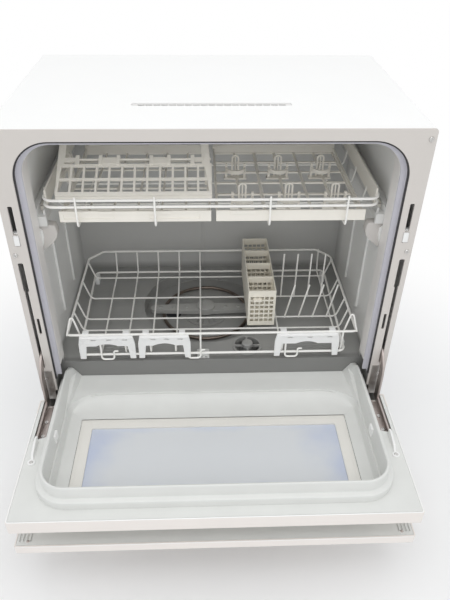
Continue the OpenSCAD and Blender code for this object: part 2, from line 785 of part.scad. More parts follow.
recess_x = arm_x - 14.5;
recess_out = arm_x + 3.5;
module upper_door_outer() {
    color("white") at_front() difference() {
        union() {
            difference() {
                translate([0, 0, door_open_z - upper_door_t]) linear_extrude(upper_door_t)
                    round_rect([-half_w, free_y], [half_w, tail_y], 2.5);
                box_from([-half_w + pan_t, free_y + pan_t, door_open_z - upper_door_t + pan_t + 0.5],
                    [half_w - pan_t, tail_y - pan_t, door_open_z + cut]);
                // The liner's apron passes over the pan's hinge edge
                box_from([-half_open, tail_y - pan_t - cut, basin_z - liner_t - 1],
                    [half_open, tail_y + cut, door_open_z + cut]);
            }
            both_sides() box_from([recess_x + 0.5, foot_end_y - 1, door_open_z - upper_door_t + pan_t],
                [recess_out - 0.5, tail_y - pan_t - 2, foot_z]);
            both_sides() for (y = [free_y + 22, tail_y - 13])
                drum([half_w - 95, y, door_open_z - upper_door_t + 1], 5, 5);
        }
        both_sides() {
            box_from([recess_x, tail_y - pan_t - 2, foot_z - 2],
                [recess_out, tail_y + cut, door_open_z + cut]);
            for (y = foot_screw_y) drum([arm_x - 6, y, foot_z - 6], 8, 1.6);
        }
        outer_window(0, 1);
    }
}

outer_border = 26;
module outer_window(gap, over) {
    translate([0, 0, door_open_z - upper_door_t - over])
        linear_extrude(pan_t + 0.5 + over * 2) round_rect(
            [-window_w / 2 - outer_border + gap, window_far_y - window_l - outer_border / 2 + gap],
            [window_w / 2 + outer_border - gap, window_far_y + outer_border / 2 - gap], 6);
}

module outer_pane() {
    color("#6f7c86") at_front() outer_window(fit, 0);
}

// Plan of the upper door's liner, smaller by an inset; only the corners at its free edge are round
module liner_plan(inset, tail) {
    r = opening_r - liner_inset - inset;
    w = half_open - liner_inset - inset;
    near = closed_sum - opening_top + liner_inset + inset;
    translate([-w, near + r]) square([2 * w, tail - near - r]);
    translate([-w + r, near]) square([2 * (w - r), r * 2]);
    for (x = [-w + r, w - r]) translate([x, near + r]) circle(r);
}

module basin_slab(half, near, far, r, z) {
    translate([0, 0, z]) linear_extrude(0.1) round_rect([-half, near], [half, far], r, $fn = hull_sides);
}

basin_near = closed_sum - opening_top + liner_inset + ledge_w + lip_wall;
basin_half = lip_half - lip_wall;
window_half = window_w / 2 + window_border;
window_near = window_far_y - window_l - window_border;
window_end = window_far_y + window_border;
module upper_door_liner() {
    flange = pan_t + fit;
    color("#d5d6d2") at_front() difference() {
        union() {
            box_from([-half_w + flange, free_y + flange, door_open_z - liner_t],
                [half_w - flange, tail_y - flange, door_open_z]);
            translate([0, 0, door_open_z - liner_t]) linear_extrude(ledge_h + liner_t)
                liner_plan(0, apron_y);
            translate([0, 0, basin_z - liner_t]) linear_extrude(lip_h + basin_depth + liner_t)
                liner_plan(ledge_w, apron_y);
        }
        // The basin widens in two slopes from its floor to the top of the wall
        hull() {
            basin_slab(window_half + 4, window_near - 2, window_end + 2, 12, basin_z);
            basin_slab(basin_half - 8, basin_near + 3, step_y, 24, apron_z + 4);
        }
        hull() {
            basin_slab(basin_half - 8, basin_near + 3, apron_y + 40, 24, apron_z + 4);
            basin_slab(basin_half, basin_near, apron_y + 60, 34, door_open_z + lip_h);
        }
        // Underside of the apron, which rides over the closed lower door
        along_x(-half_w, half_w) polygon([[tail_y - flange, 0], [tail_y - flange, basin_z - 0.5],
            [step_y - 2, apron_z], [apron_y + cut, apron_z], [apron_y + cut, 0]]);
        // Wall ends slope down to the apron
        along_x(-half_w, half_w) polygon([[apron_y - 12, door_open_z + lip_h + cut],
            [apron_y + cut, door_open_z + lip_h - 8], [apron_y + cut, door_open_z + lip_h + cut]]);
        both_sides() box_from([recess_x, foot_end_y - 2, 0], [recess_out, tail_y + cut, door_open_z + cut]);
        both_sides() drum([hook_x, hook_screw_y, 0], 300, 1.6);
        box_from([-window_half - fit, window_near - fit, 0],
            [window_half + fit, window_end + fit, basin_z - 1]);
        box_from([-window_half + 5, window_near + 5, 0], [window_half - 5, window_end - 5, basin_z + cut]);
        box_from([-half_w, free_y - cut, 0], [half_w, tail_y, basin_z - liner_t + 0.01]);
    }
}

module window_frame() {
    color("#e8e6df") at_front() difference() {
        union() {
            box_from([-window_half + 5 + fit, window_near + 5 + fit, basin_z - 1.2],
                [window_half - 5 - fit, window_end - 5 - fit, basin_z - 0.4]);
            box_from([-window_half, window_near, basin_z - liner_t],
                [window_half, window_end, basin_z - 1.2]);
        }
        translate([0, 0, basin_z - 10]) linear_extrude(20) round_rect(
            [-window_w / 2, window_far_y - window_l], [window_w / 2, window_far_y], 3);
    }
}

module inner_pane() {
    color([0.72, 0.78, 0.86, 0.5]) at_front()
        box_from([-window_half + 4, window_near + 4, basin_z - liner_t - pane_t],
            [window_half - 4, window_end - 4, basin_z - liner_t - 0.1]);
}

hook_x = slot_x;
hook_screw_y = hook_near_y - 6;
// White hooks that stand up from the upper door and enter the slots of the front frame
module door_hooks() {
    color("white") at_front() both_sides() difference() {
        union() {
            drum([hook_x, hook_screw_y, door_open_z + 0.1], 1.2, 5.5);
            box_from([hook_x - 1.8, hook_screw_y + 4, door_open_z + 0.1],
                [hook_x + 1.8, hook_far_y - 1, door_open_z + 1.3]);
            along_x(hook_x - 1.6, hook_x + 1.6) polygon([[hook_near_y, door_open_z + 0.5],
                [hook_near_y + 6, door_open_z + 7], [hook_far_y - 7, door_open_z + 11],
                [hook_far_y, door_open_z + 9], [hook_far_y, door_open_z + 0.5]]);
        }
        drum([hook_x, hook_screw_y, door_open_z - cut], 5, 2.2);
    }
}

module door_screws() {
    color("silver") at_front() both_sides() {
        translate([hook_x, hook_screw_y, door_open_z - 8]) {
            cylinder(h = 9.4, r = 1.5);
            translate([0, 0, 9.4]) screw_head(3, 0.5, 0.6);
        }
        for (y = foot_screw_y) translate([arm_x - 6, y, foot_z - 4]) {
            cylinder(h = 6.1, r = 1.5);
            translate([0, 0, 6.1]) screw_head(3.4, 1.8);
        }
    }
}

// Lower door, drawn open

low_corner = -6;
low_near = low_free_y + 50;
low_far = -48;
low_half = rim_half - 1.5;
ear_end_y = -70;
ear_screw_y = ear_end_y + 20;
ear_in = ear_x - 2.5;
ear_out = ear_x + steel_t + 1.5;
module lower_door_outer() {
    color("white") at_front() difference() {
        union() {
            translate([0, 0, low_open_z - lower_door_t]) linear_extrude(lower_door_t)
                round_rect([-half_w, low_free_y], [half_w, low_corner], 2.5);
            box_from([-half_open, low_corner - 5, low_open_z - lower_door_t],
                [half_open, low_pin_y + low_tail, low_open_z]);
        }
        difference() {
            union() {
                box_from([-half_w + pan_t, low_free_y + pan_t, low_open_z - lower_door_t + pan_t],
                    [half_w - pan_t, low_corner - pan_t, low_open_z + cut]);
                box_from([-half_open + pan_t, low_corner - 6, low_open_z - lower_door_t + pan_t],
                    [half_open - pan_t, low_pin_y + low_tail - pan_t, low_open_z + cut]);
            }
            // Pads that the ears are screwed to
            both_sides() box_from([ear_in + 1, ear_end_y, 0],
                [ear_out + 8, low_corner - pan_t - 1, low_open_z - 9]);
        }
        both_sides() {
            box_from([ear_in, low_corner - 8, low_open_z - 9.3],
                [ear_out, low_corner + cut, low_open_z + cut]);
            drum([ear_x + steel_t + 4, ear_screw_y, low_open_z - 14], 8, 1.6);
        }
    }
}

module lower_door_liner() {
    flange = pan_t + fit;
    color("#d5d6d2") at_front() difference() {
        union() {
            box_from([-half_w + flange, low_free_y + flange, low_open_z - liner_t],
                [half_w - flange, low_corner - flange, low_open_z]);
            box_from([-half_open + flange, low_corner - flange - cut, low_open_z - liner_t],
                [half_open - flange, low_pin_y + low_tail - flange, low_open_z]);
            translate([0, 0, low_open_z - cut]) linear_extrude(low_liner_h + cut)
                round_rect([-low_half, low_near], [low_half, low_far], 24);
            // Step round the raised middle
            translate([0, 0, low_open_z - cut]) linear_extrude(6)
                round_rect([-low_half, low_near - 6], [low_half, low_far + 6], 26);
        }
        translate([0, 0, low_open_z - liner_t - cut]) linear_extrude(low_liner_h + cut)
            round_rect([-low_half + liner_t, low_near + liner_t],
                [low_half - liner_t, low_far - liner_t], 21);
        both_sides() {
            box_from([ear_in - 0.5, ear_end_y - 2, 0],
                [ear_out + 10, low_corner + cut, low_open_z + cut]);
            // Ribbed pocket at each end, beside the free edge
            for (i = [0 : 3]) box_from([half_open + 2 + i * 5, low_free_y + 8, low_open_z - 1.6],
                [half_open + 4.5 + i * 5, low_free_y + 26, low_open_z + cut]);
            drum([end_screw_x, low_free_y + 34, 0], 200, 1.6);
        }
    }
}

end_screw_x = half_w - 13;
module lower_door_ears() {
    color("#8f8d8b") at_front() both_sides() difference() {
        union() {
            along_x(ear_x, ear_x + steel_t) {
                translate([low_pin_y, low_pin_z]) circle(8.5);
                polygon([[ear_end_y, low_open_z - 9], [-2, low_open_z - 9],
                    [low_pin_y + 6, low_pin_z - 6], [low_pin_y - 6, low_pin_z + 6],
                    [-12, low_open_z - 0.5], [ear_end_y, low_open_z - 0.5]]);
            }
            box_from([ear_x + steel_t - cut, ear_end_y, low_open_z - 9],
                [ear_x + steel_t + 8, ear_end_y + 42, low_open_z - 7]);
        }
        drum_x([ear_x - cut, low_pin_y, low_pin_z], steel_t + 2 * cut, pin_r + pin_gap);
        drum([ear_x + steel_t + 4, ear_screw_y, low_open_z - 12], 8, 2);
    }
}

module lower_door_screws() {
    color("silver") at_front() both_sides() {
        translate([ear_x + steel_t + 4, ear_screw_y, low_open_z - 12]) {
            cylinder(h = 5.1, r = 1.5);
            translate([0, 0, 5.1]) screw_head(3, 1.6);
        }
        translate([end_screw_x, low_free_y + 34, low_open_z - 10]) {
            cylinder(h = 10.1, r = 1.5);
            translate([0, 0, 10.1]) screw_head(3.4, 1.5);
        }
    }
}

// Upper rack

rack_half = upper_rack_w / 2;
rack_back_y = upper_rack_y + upper_rack_l;
low_rail_z = upper_rail_z - 10;
tray_z = upper_rail_z - 36;
rail_r = 14;
module upper_rack_frame() {
    r = rail_r;
    color("white") at_front() {
        for (z = [low_rail_z, upper_rail_z]) {
            x = rack_half - r;
            y = upper_rack_y + r;
            wire(concat([[-rack_half, z == upper_rail_z ? rack_back_y : y + 30, z]],
                bend([-x, y], r, 180, 270, z), bend([x, y], r, 270, 360, z),
                [[rack_half, z == upper_rail_z ? rack_back_y : y + 30, z]]), rail_d);
        }
        wire([[-rack_half, rack_back_y, upper_rail_z], [rack_half, rack_back_y, upper_rail_z]], rail_d);
        both_sides() for (x = [80, rack_half - 45]) {
            wire([[x, upper_rack_y - 3, upper_rail_z + 4], [x, upper_rack_y - 3, tray_z],
                [x, upper_rack_y + 2, tray_z - 4], [x, upper_rack_y + 8, tray_z - 4],
                [x, rack_back_y - 6, tray_z - 4], [x, rack_back_y, tray_z],
                [x, rack_back_y, upper_rail_z]], wire_d);
        }
        for (i = [0 : 2]) {
            y = upper_rack_y + 64 + i * 70;
            wire([[-rack_half, y, upper_rail_z - 3], [-rack_half + 8, y, tray_z - 2],
                [rack_half - 8, y, tray_z - 2], [rack_half, y, upper_rail_z - 3]], wire_d);
        }
        // Hooks at both ends of the front rail
        both_sides() wire([[rack_half, upper_rack_y + 20, low_rail_z], [rack_half - 1, upper_rack_y + 24,
            upper_rail_z + 8]], wire_d);
        // Side strips that slide in the runners
        both_sides() {
            box_from([rack_half - 4, upper_rack_y + 12, upper_rail_z - 6],
                [rack_half - 1, rack_back_y - 1, upper_rail_z + 10]);
            box_from([rack_half - 2, upper_rack_y + 16, runner_z + 3 + fit],
                [strip_out, rack_back_y - 4, runner_z + 6]);
            box_from([strip_out - strip_w, upper_rack_y + 16, runner_z - 3 + fit],
                [strip_out, rack_back_y - 4, runner_z + 6]);
            box_from([rack_half - 3, upper_rack_y + 16, runner_z + 3 + fit],
                [rack_half - 1, rack_back_y - 4, upper_rail_z - 4]);
        }
    }
}

tray_gap = 3;
tray_front = upper_rack_y + 5;
tray_left_in = 2;
tray_half = rack_half - 19;
panel_h = 17;
// The cup shelf folds up about a rod in two posts of the tray
shelf_z = upper_rail_z + 1;
shelf_near = upper_rack_y + 6;
shelf_far = upper_rack_y + 126;
hinge_z = shelf_z + 5;
rod_r = 2.6;
post_w = 8;
post_top = upper_rail_z + 52;
// Open grid of bars between two corners
module grid(low, high, nx, ny, bar, t) {
    sx = (high.x - low.x - bar) / nx;
    sy = (high.y - low.y - bar) / ny;
    difference() {
        box_from([low.x, low.y, low.z], [high.x, high.y, low.z + t]);
        for (i = [0 : nx - 1], j = [0 : ny - 1])
            box_from([low.x + bar + i * sx, low.y + bar + j * sy, low.z - cut],
                [low.x + (i + 1) * sx, low.y + (j + 1) * sy, low.z + t + cut]);
    }
}

module cup_tray() {
    near = [-tray_half, tray_front];
    far = [-tray_left_in, rack_back_y - 5];
    posts = [near.x - post_w + 1, far.x - post_w];
    color("ivory") at_front() difference() {
        union() {
            grid([near.x, near.y, tray_z], [far.x, far.y, tray_z + 3], 6, 7, 3, 2.5);
            box_from([near.x, near.y, tray_z], [far.x, near.y + 2.5, tray_z + panel_h]);
            box_from([near.x + 55, near.y - 1, tray_z + panel_h - 6],
                [far.x - 55, near.y + 2, tray_z + panel_h]);
            box_from([near.x, far.y - 2.5, tray_z], [far.x, far.y, tray_z + panel_h]);
            for (x = [near.x, far.x - 2.5])
                box_from([x, near.y, tray_z], [x + 2.5, far.y, tray_z + 10]);
            // Posts that narrow towards the top
            for (x = posts) along_x(x, x + post_w) polygon([[shelf_far - 3, tray_z],
                [shelf_far - 3, hinge_z + 5], [shelf_far + 1, hinge_z + 12], [shelf_far + 2, post_top],
                [shelf_far + 7, post_top], [shelf_far + 9, tray_z]]);
        }
        for (x = posts) drum_x([x - cut, shelf_far, hinge_z], post_w + 2 * cut, rod_r + pin_gap);
        for (x = [near.x + 6, far.x - 86]) box_from([x, near.y - cut, tray_z + 5],
            [x + 70, near.y + 1, tray_z + 12]);
    }
}

// Folding grid that rests just inside the front rail, with clips that hold its rod
module cup_shelf() {
    low = -tray_half - 3;
    high = -tray_left_in - 1;
    back = shelf_far - 6;
    color("ivory") at_front() {
        grid([low, shelf_near + 6, shelf_z - 1.5], [high, back, 0], shelf_columns, 2, 4.5, 3);
        // Deep front edge with a thumb lip
        box_from([low, shelf_near, shelf_z - 5], [high, shelf_near + 4, shelf_z + 1.5]);
        box_from([low, shelf_near + 3, shelf_z - 0.5], [high, shelf_near + 8, shelf_z + 1.5]);
        box_from([(low + high) / 2 - 15, shelf_near - 1, shelf_z - 2],
            [(low + high) / 2 + 15, shelf_near + 4, shelf_z + 1.5]);
        for (x = [low, high - 4]) box_from([x, shelf_near + 1, shelf_z - 4], [x + 4, back, shelf_z + 3]);
        drum_x([-tray_half - post_w / 2, shelf_far, hinge_z], tray_half - tray_left_in, rod_r);
        // Two narrow arms and two wide clips carry the rod
        for (x = [low + 9, high - 30])
            box_from([x, back - 3, shelf_z - 1], [x + 5, shelf_far + 1, hinge_z + 1]);
        for (x = [low + 44, low + 122]) {
            box_from([x, back - 4, shelf_z - 1], [x + 32, back, hinge_z - 1]);
            for (s = [x, x + 26]) box_from([s, back - 2, hinge_z - 4], [s + 6, shelf_far + 4, hinge_z + 4]);
            box_from([x + 4, back - 2, hinge_z - 2], [x + 28, shelf_far + 1, hinge_z + 3.2]);
        }
    }
}

holder_w = 32;
module glass_holder() {
    // Cradle that a glass rim stands in, two posts and a tall loop
    translate([0, 0, 12]) difference() {
        cylinder(h = 6, r = holder_w / 2);
        drum([0, 0, -cut], 8, holder_w / 2 - 3);
        translate([-holder_w, 0, -cut]) cube([holder_w * 2, holder_w, 8]);
    }
    for (s = [-1, 1]) translate([s * (holder_w / 2 - 1.5) - 1.8, -2, 0]) cube([3.6, 4, 24]);
    for (s = [-1, 1]) translate([s * 5 - 1.3, 4, 0]) cube([2.6, 3, 30]);
    translate([0, 7, 30]) rotate([90, 0, 0]) difference() {
        cylinder(h = 3, r = 6.3);
        drum([0, 0, -cut], 5, 3.7);
        translate([-8, -16, -cut]) cube([16, 16, 5]);
    }
    translate([-1, 4.5, 0]) cube([2, 2, 33]);
}

module glass_tray() {
    near = [tray_left_in + tray_gap, tray_front];
    far = [tray_half + tray_gap, rack_back_y - 5];
    color("ivory") at_front() {
        grid([near.x, near.y, tray_z], [far.x, far.y, tray_z + 3], 6, 6, 4, 2.5);
        box_from([near.x, near.y, tray_z], [far.x, near.y + 2.5, tray_z + panel_h]);
        box_from([near.x + 20, near.y - 1, tray_z + panel_h - 6],
            [near.x + 60, near.y + 2, tray_z + panel_h]);
        box_from([near.x, far.y - 2.5, tray_z], [far.x, far.y, tray_z + panel_h]);
        for (x = [near.x, far.x - 2.5])
            box_from([x, near.y, tray_z], [x + 2.5, far.y, tray_z + 10]);
        for (i = [0 : 2], j = [0, 1]) {
            p = [near.x + 39 - 5 * j + i * (far.x - near.x - 76) / 2, near.y + 39 + j * 102];
            translate([p.x, p.y, tray_z + 2]) glass_holder();
            box_from([p.x - holder_w / 2 - 2, p.y - 4, tray_z],
                [p.x + holder_w / 2 + 2, p.y + 8, tray_z + 2.5]);
        }
    }
}

// Lower rack

low_half_w = lower_rack_w / 2;
low_back_y = lower_rack_y + lower_rack_l;
base_z = floor_z + 14;
back_rail_z = lower_rail_z - rail_drop;
module lower_rack_frame() {
    chamfer = 26;
    front = lower_rack_y;
    w = lower_rack_w / 2;
    back = low_back_y;
    top = lower_rail_z;
    side_top = top - 26;
    color("white") at_front() {
        // Rim: level along the front, then falling to a chamfered back
        wire([[-w, front, top], [w, front, top]], rail_d);
        wire([[-w, front, top], [-w - 1, front + 14, top - 24],
            [-w + 2, back - chamfer, back_rail_z],
            [-w + chamfer, back, back_rail_z],
            [w - chamfer, back, back_rail_z],
            [w - 2, back - chamfer, back_rail_z],
            [w + 1, front + 14, top - 24], [w, front, top]], rail_d);
        // Bent end wires that stand up beside the front corners
        both_sides() wire([[w - 14, front, top], [w - 10, front + 2, top + 24],
            [w - 1, front + 12, top - 18]], wire_d);
        // Base loop and its cross wires
        wire([[-w + 14, front + 2, base_z], [w - 14, front + 2, base_z],
            [w - 8, back - 8, base_z], [-w + 8, back - 8, base_z],
            [-w + 14, front + 2, base_z]], rail_d);
        for (y = [front + 62, front + 93, front + 154, front + 220]) {
            z = side_top - (y - front) * 0.02;
            wire([[-w + 1, y, z], [-w + 12, y, base_z + 1], [w - 12, y, base_z + 1], [w - 1, y, z]], wire_d);
        }
        // Long wires, front to back, that turn up to the rails; none crosses the filter
        for (x = concat([for (i = [0 : 4]) -w + 49 + i * 40], [basket_x + 52, w - 21]))
            wire([[x, front, top], [x, front + 4, base_z - 1], [x, back - 6, base_z - 1],
                [x, back, back_rail_z]], wire_d);
        // Two rows of leaning tines for plates
        for (i = [0 : tine_count - 1]) {
            x = basket_x + 67 + i * tine_pitch;
            wire([[x, front + 93, base_z], [x + 14, front + 96, base_z + 66]], wire_d);
            wire([[x, front + 154, base_z], [x + 3, front + 166, base_z + 84]], wire_d);
        }
        // Loops that hang below the front rail
        for (x = [-w + 63, -w + 209, w - 99])
            wire([[x - 13, front, top], [x - 13, front - 1, base_z - 8],
                [x + 7, front - 1, base_z - 8], [x + 7, front, base_z + 8],
                [x + 13, front, base_z + 8]], wire_d);
        // Feet that slide on the tub floor
        both_sides() for (y = [front + 24, back - 30])
            box_from([w - 17, y, floor_z + fit], [w - 9, y + 16, base_z + 1]);
    }
}

// Clip-on pieces along the front rail, with an arched window each
clip_x = [[-low_half_w + 16, -low_half_w + 105], [-low_half_w + 110, -low_half_w + 193],
    [low_half_w - 130, low_half_w - 26]];
module rack_clips() {
    y = lower_rack_y - rail_d / 2 - 0.2;
    foot = base_z - 6;
    arm = lower_rail_z - 32;
    color("white") at_front() for (c = clip_x) difference() {
        union() {
            along_y(y - 3, y) difference() {
                polygon([[c[0], arm + 6], [c[0] + 3, lower_rail_z - 4], [c[1] - 3, lower_rail_z - 4],
                    [c[1], arm + 6], [c[1], foot], [c[1] - 9, foot], [c[1] - 12, arm],
                    [c[0] + 12, arm], [c[0] + 9, foot], [c[0], foot]]);
                translate([(c[0] + c[1]) / 2, arm - 22]) circle(28);
            }
            for (x = [c[0] + 8, c[1] - 18]) {
                box_from([x, y - 2, lower_rail_z - 6], [x + 10, y, lower_rail_z + 4]);
                box_from([x, y - 2, lower_rail_z + rail_d / 2 + 0.2], [x + 10, y + rail_d + 2,
                    lower_rail_z + rail_d / 2 + 2]);
            }
            box_from([c[0] + 4, y - 5, lower_rail_z - 10], [c[1] - 4, y, lower_rail_z - 7]);
        }
        for (i = [0 : 2]) translate([c[0] + 20 + i * ((c[1] - c[0] - 40) / 2), y - 6, lower_rail_z - 16])
            cube([8, 8, 3]);
    }
}

basket_x = filter_x + 2;
basket = [[basket_x, lower_rack_y + 65], [basket_x + 46, lower_rack_y + 236]];
basket_top = lower_rail_z + 12;
basket_cells = 4;
module cutlery_basket() {
    low = [basket[0][0], basket[0][1]];
    high = [basket[1][0], basket[1][1]];
    z0 = base_z + 1 + wire_d / 2 + fit;
    t = 1.8;
    cell = (high.y - low.y - t) / basket_cells;
    color("#d8d2c4") at_front() {
        difference() {
            box_from([low.x, low.y, z0], [high.x, high.y, basket_top]);
            for (i = [0 : basket_cells - 1]) box_from([low.x + t, low.y + t + i * cell, z0 + t],
                [high.x - t, low.y + (i + 1) * cell, basket_top + cut]);
            // Rows of small openings in the two end walls
            for (i = [0 : 4], j = [0 : 5]) box_from([low.x + 4 + i * 8, low.y - cut, z0 + 8 + j * 9],
                [low.x + 10 + i * 8, high.y + cut, z0 + 14 + j * 9]);
        }
        // Clip that hangs on the front end
        box_from([low.x + 8, low.y - 6, basket_top - 18], [low.x + 22, low.y, basket_top - 14]);
    }
}

// Wash system

arm_l = well_r - 8;
spray_z = floor_z - well_depth + 7;
sump_z = floor_z - well_depth - floor_t;
module spray_arm() {
    color("#b5b5b2") at_front() translate([spray_x, spray_y, spray_z]) difference() {
        union() {
            cylinder(h = 13, r = 16);
            translate([0, 0, 13]) cylinder(h = 2, r1 = 16, r2 = 11);
            for (a = [0, 180]) rotate([0, 0, a]) {
                linear_extrude(8) polygon([[0, -13], [arm_l - 10, -8], [arm_l - 10, 8], [0, 13]]);
                drum([arm_l - 10, 0, 0], 8, 8);
                for (x = [36, 60, 84]) translate([x, 0, 7]) cylinder(h = 3, r1 = 4, r2 = 2.5);
            }
        }
        drum([0, 0, -cut], 11, 7 + 0.1);
        for (a = [0, 180], x = [36, 60, 84]) rotate([0, 0, a]) drum([x, 0, 4], 8, 1.2);
    }
}

// Cup-shaped strainer with a round knob, which drops into its own pocket in the floor
module residue_filter() {
    color("#9a9a97") at_front() translate([filter_x, filter_y, 0]) {
        difference() {
            union() {
                drum([0, 0, floor_z - 29], 29, filter_r - 1);
                drum([0, 0, floor_z + 0.2], 2, filter_r + 1);
                drum([0, 0, floor_z - 1], 2, filter_r - 1);
            }
            drum([0, 0, floor_z - 27], 40, filter_r - 3);
            for (a = [0 : 30 : 330]) rotate([0, 0, a])
                translate([filter_r - 5, -2, floor_z - 24]) cube([6, 4, 18]);
        }
        for (a = [0, 90]) rotate([0, 0, a])
            translate([-filter_r + 1.5, -1.5, floor_z - 2]) cube([filter_r * 2 - 3, 3, 4]);
        drum([0, 0, floor_z], 7, 9);
        translate([0, 0, floor_z + 7]) cylinder(h = 2, r1 = 9, r2 = 6);
    }
}

// Tube heater on the floor of the well, in an open ring
module heater() {
    color("#7d7b78") at_front() translate([spray_x, spray_y, floor_z - well_depth + 3.7]) difference() {
        rotate_extrude($fn = 96) translate([78, 0]) circle(3, $fn = 24);
        translate([0, -4, -10]) cube([120, 8, 20]);
    }
}

module wash_pump() {
    color("#55585c") at_front() {
        drum([spray_x - 60, spray_y, sump_z - 53], 52.8, 24);
        drum([spray_x - 60, spray_y, sump_z - 113], 60, 38);
        drum([spray_x - 60, spray_y, foot_h + base_floor_t], sump_z - 98 - foot_h - base_floor_t, 20);
        drum_x([spray_x - 60, spray_y, sump_z - 43], 57, 8);
        // Riser and hollow axle that the spray arm turns on
        drum([spray_x, spray_y, sump_z - 56], 35, 11);
        translate([spray_x, spray_y, sump_z - 23]) difference() {
            cylinder(h = spray_z + 32 - sump_z, r = 7);
            drum([0, 0, 12], 60, 5);
        }
    }
}

inlet_x = half_w - 55;
drain_x = half_w - 105;
cord_x = half_w - 165;
gland_r = 8;
module drain_pump() {
    color("#44474b") at_front() {
        drum([filter_x, filter_y, 75], floor_z - 32.2 - 75, 12);
        drum([filter_x, filter_y, 40], 36, 26);
        drum([filter_x, filter_y, foot_h + base_floor_t], 26, 17);
    }
}

fan_x = half_w - 105;
fan_y = port_y - 25;
fan_top = 108;
module drying_fan() {
    color("#55585c") at_front() {
        drum([fan_x, fan_y, fan_top - 38], 38, 42);
        drum([fan_x, fan_y, foot_h + base_floor_t], fan_top - 38 - foot_h - base_floor_t + cut, 22);
        box_from([fan_x + 36, port_y - 13, fan_top - 30], [duct_x + 11, port_y + 17, fan_top - 8]);
    }
}

// Upright duct from the fan to the port in the tub's side wall
duct_x = half_open - 25;
duct_bend = fan_top + 42;
module air_duct() {
    near = port_y - 13;
    far = port_y + 15;
    out = half_open + 15;
    color("#77797b") at_front() difference() {
        union() {
            box_from([duct_x, near, fan_top - 8 + 0.2], [duct_x + 13, far, duct_bend]);
            box_from([duct_x, near, duct_bend - 13], [out, far, duct_bend]);
            box_from([half_open + tub_wall + 0.2, near, duct_bend - 13], [out, far, port_z + 22]);
        }
        box_from([half_open + tub_wall + 2, near + 2, duct_bend], [out - 2, far - 2, port_z + 20]);
        drum_x([half_open, port_y, port_z], 10, 12);
    }
}

module inlet_valve() {
    color("#3f6f9a") at_front() {
        translate([inlet_x, connection_y - 44, connection_z]) rotate([-90, 0, 0]) cylinder(h = 30, r = 13);
        box_from([inlet_x - 12, connection_y - 44, foot_h + base_floor_t],
            [inlet_x + 12, connection_y - 20, connection_z]);
    }
}

// Nipple with a pipe thread drawn at its outer radius, a collar in the wall and a
// hexagon behind it
collar_step = 1.5;
wall_seat = 0.1;
nipple_l = 14;
module inlet_nipple() {
    color("goldenrod") at_front() translate([inlet_x, connection_y, connection_z])
        rotate([-90, 0, 0]) difference() {
            union() {
                translate([0, 0, -14]) cylinder(h = 11 - wall_seat, r = 13.5, $fn = 6);
                drum([0, 0, -4], 4.5, inlet_r + collar_step);
                cylinder(h = 0.5 + nipple_l, r = inlet_r);
                translate([0, 0, 0.5 + nipple_l])
                    cylinder(h = 2, r1 = inlet_r, r2 = inlet_r - 1.5);
            }
            drum([0, 0, -20], 60, 6.5);
        }
}

spigot_l = 18;
module drain_spigot() {
    color("#6d6f72") at_front() translate([drain_x, connection_y, connection_z])
        rotate([-90, 0, 0]) difference() {
            union() {
                drum([0, 0, -12], 9 - wall_seat, drain_r + 4);
                drum([0, 0, -4], 5, drain_r + collar_step);
                cylinder(h = 1 + spigot_l, r = drain_r);
                translate([0, 0, 1 + spigot_l]) cylinder(h = 1.5, r1 = drain_r, r2 = drain_r - 1);
            }
            drum([0, 0, -20], 60, drain_r - 2.5);
        }
}

module cord_gland() {
    color("#2f3032") at_front() translate([cord_x, 0, connection_z]) rotate([-90, 0, 0]) difference() {
        union() {
            drum([0, 0, connection_y + 0.1], 3, gland_r + 3);
            drum([0, 0, connection_y - 8], 11, gland_r);
            translate([0, 0, connection_y + 3]) cylinder(h = 9, r1 = gland_r + 1, r2 = gland_r - 2);
        }
        drum([0, 0, connection_y - 20], 60, cord_hole_r);
    }
}

top_cover();
vent_grille();
side_panel_left();
side_panel_right();
back_panel();
front_frame();
frame_screws();
slot_tabs();
base_pan();
base_front();
sill_cover();
feet();
tub();
tub_gasket();
well_cover();
float_cover();
runner_left();
runner_right();
hinge_bracket_left();
hinge_bracket_right();
hinge_pins();
heater();
wash_pump();
drain_pump();
drying_fan();
air_duct();
inlet_valve();
control_board();
inlet_nipple();
drain_spigot();
cord_gland();
indicator_lenses();
start_button();
power_button();
course_button();
dry_button();
spray_arm();
residue_filter();
upper_door_outer();
upper_door_liner();
window_frame();
inner_pane();
outer_pane();
hinge_arm_left();
hinge_arm_right();
door_hooks();
door_screws();
lower_door_outer();
lower_door_liner();
lower_door_ears();
lower_door_screws();
upper_rack_frame();
cup_tray();
glass_tray();
cup_shelf();
lower_rack_frame();
rack_clips();
cutlery_basket();
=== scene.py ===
# %% [markdown]
# A compact dishwasher stands on a worktop with both of its doors let down.
# On the real machine the white casing is coated sheet steel, the tub and the door liner are
# moulded polypropylene, and the racks are welded steel wire dipped in nylon.
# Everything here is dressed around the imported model, which stays the fixed frame.

# %% The fixed frame
import json
import math

import bmesh
import bpy
from mathutils import Matrix, Vector

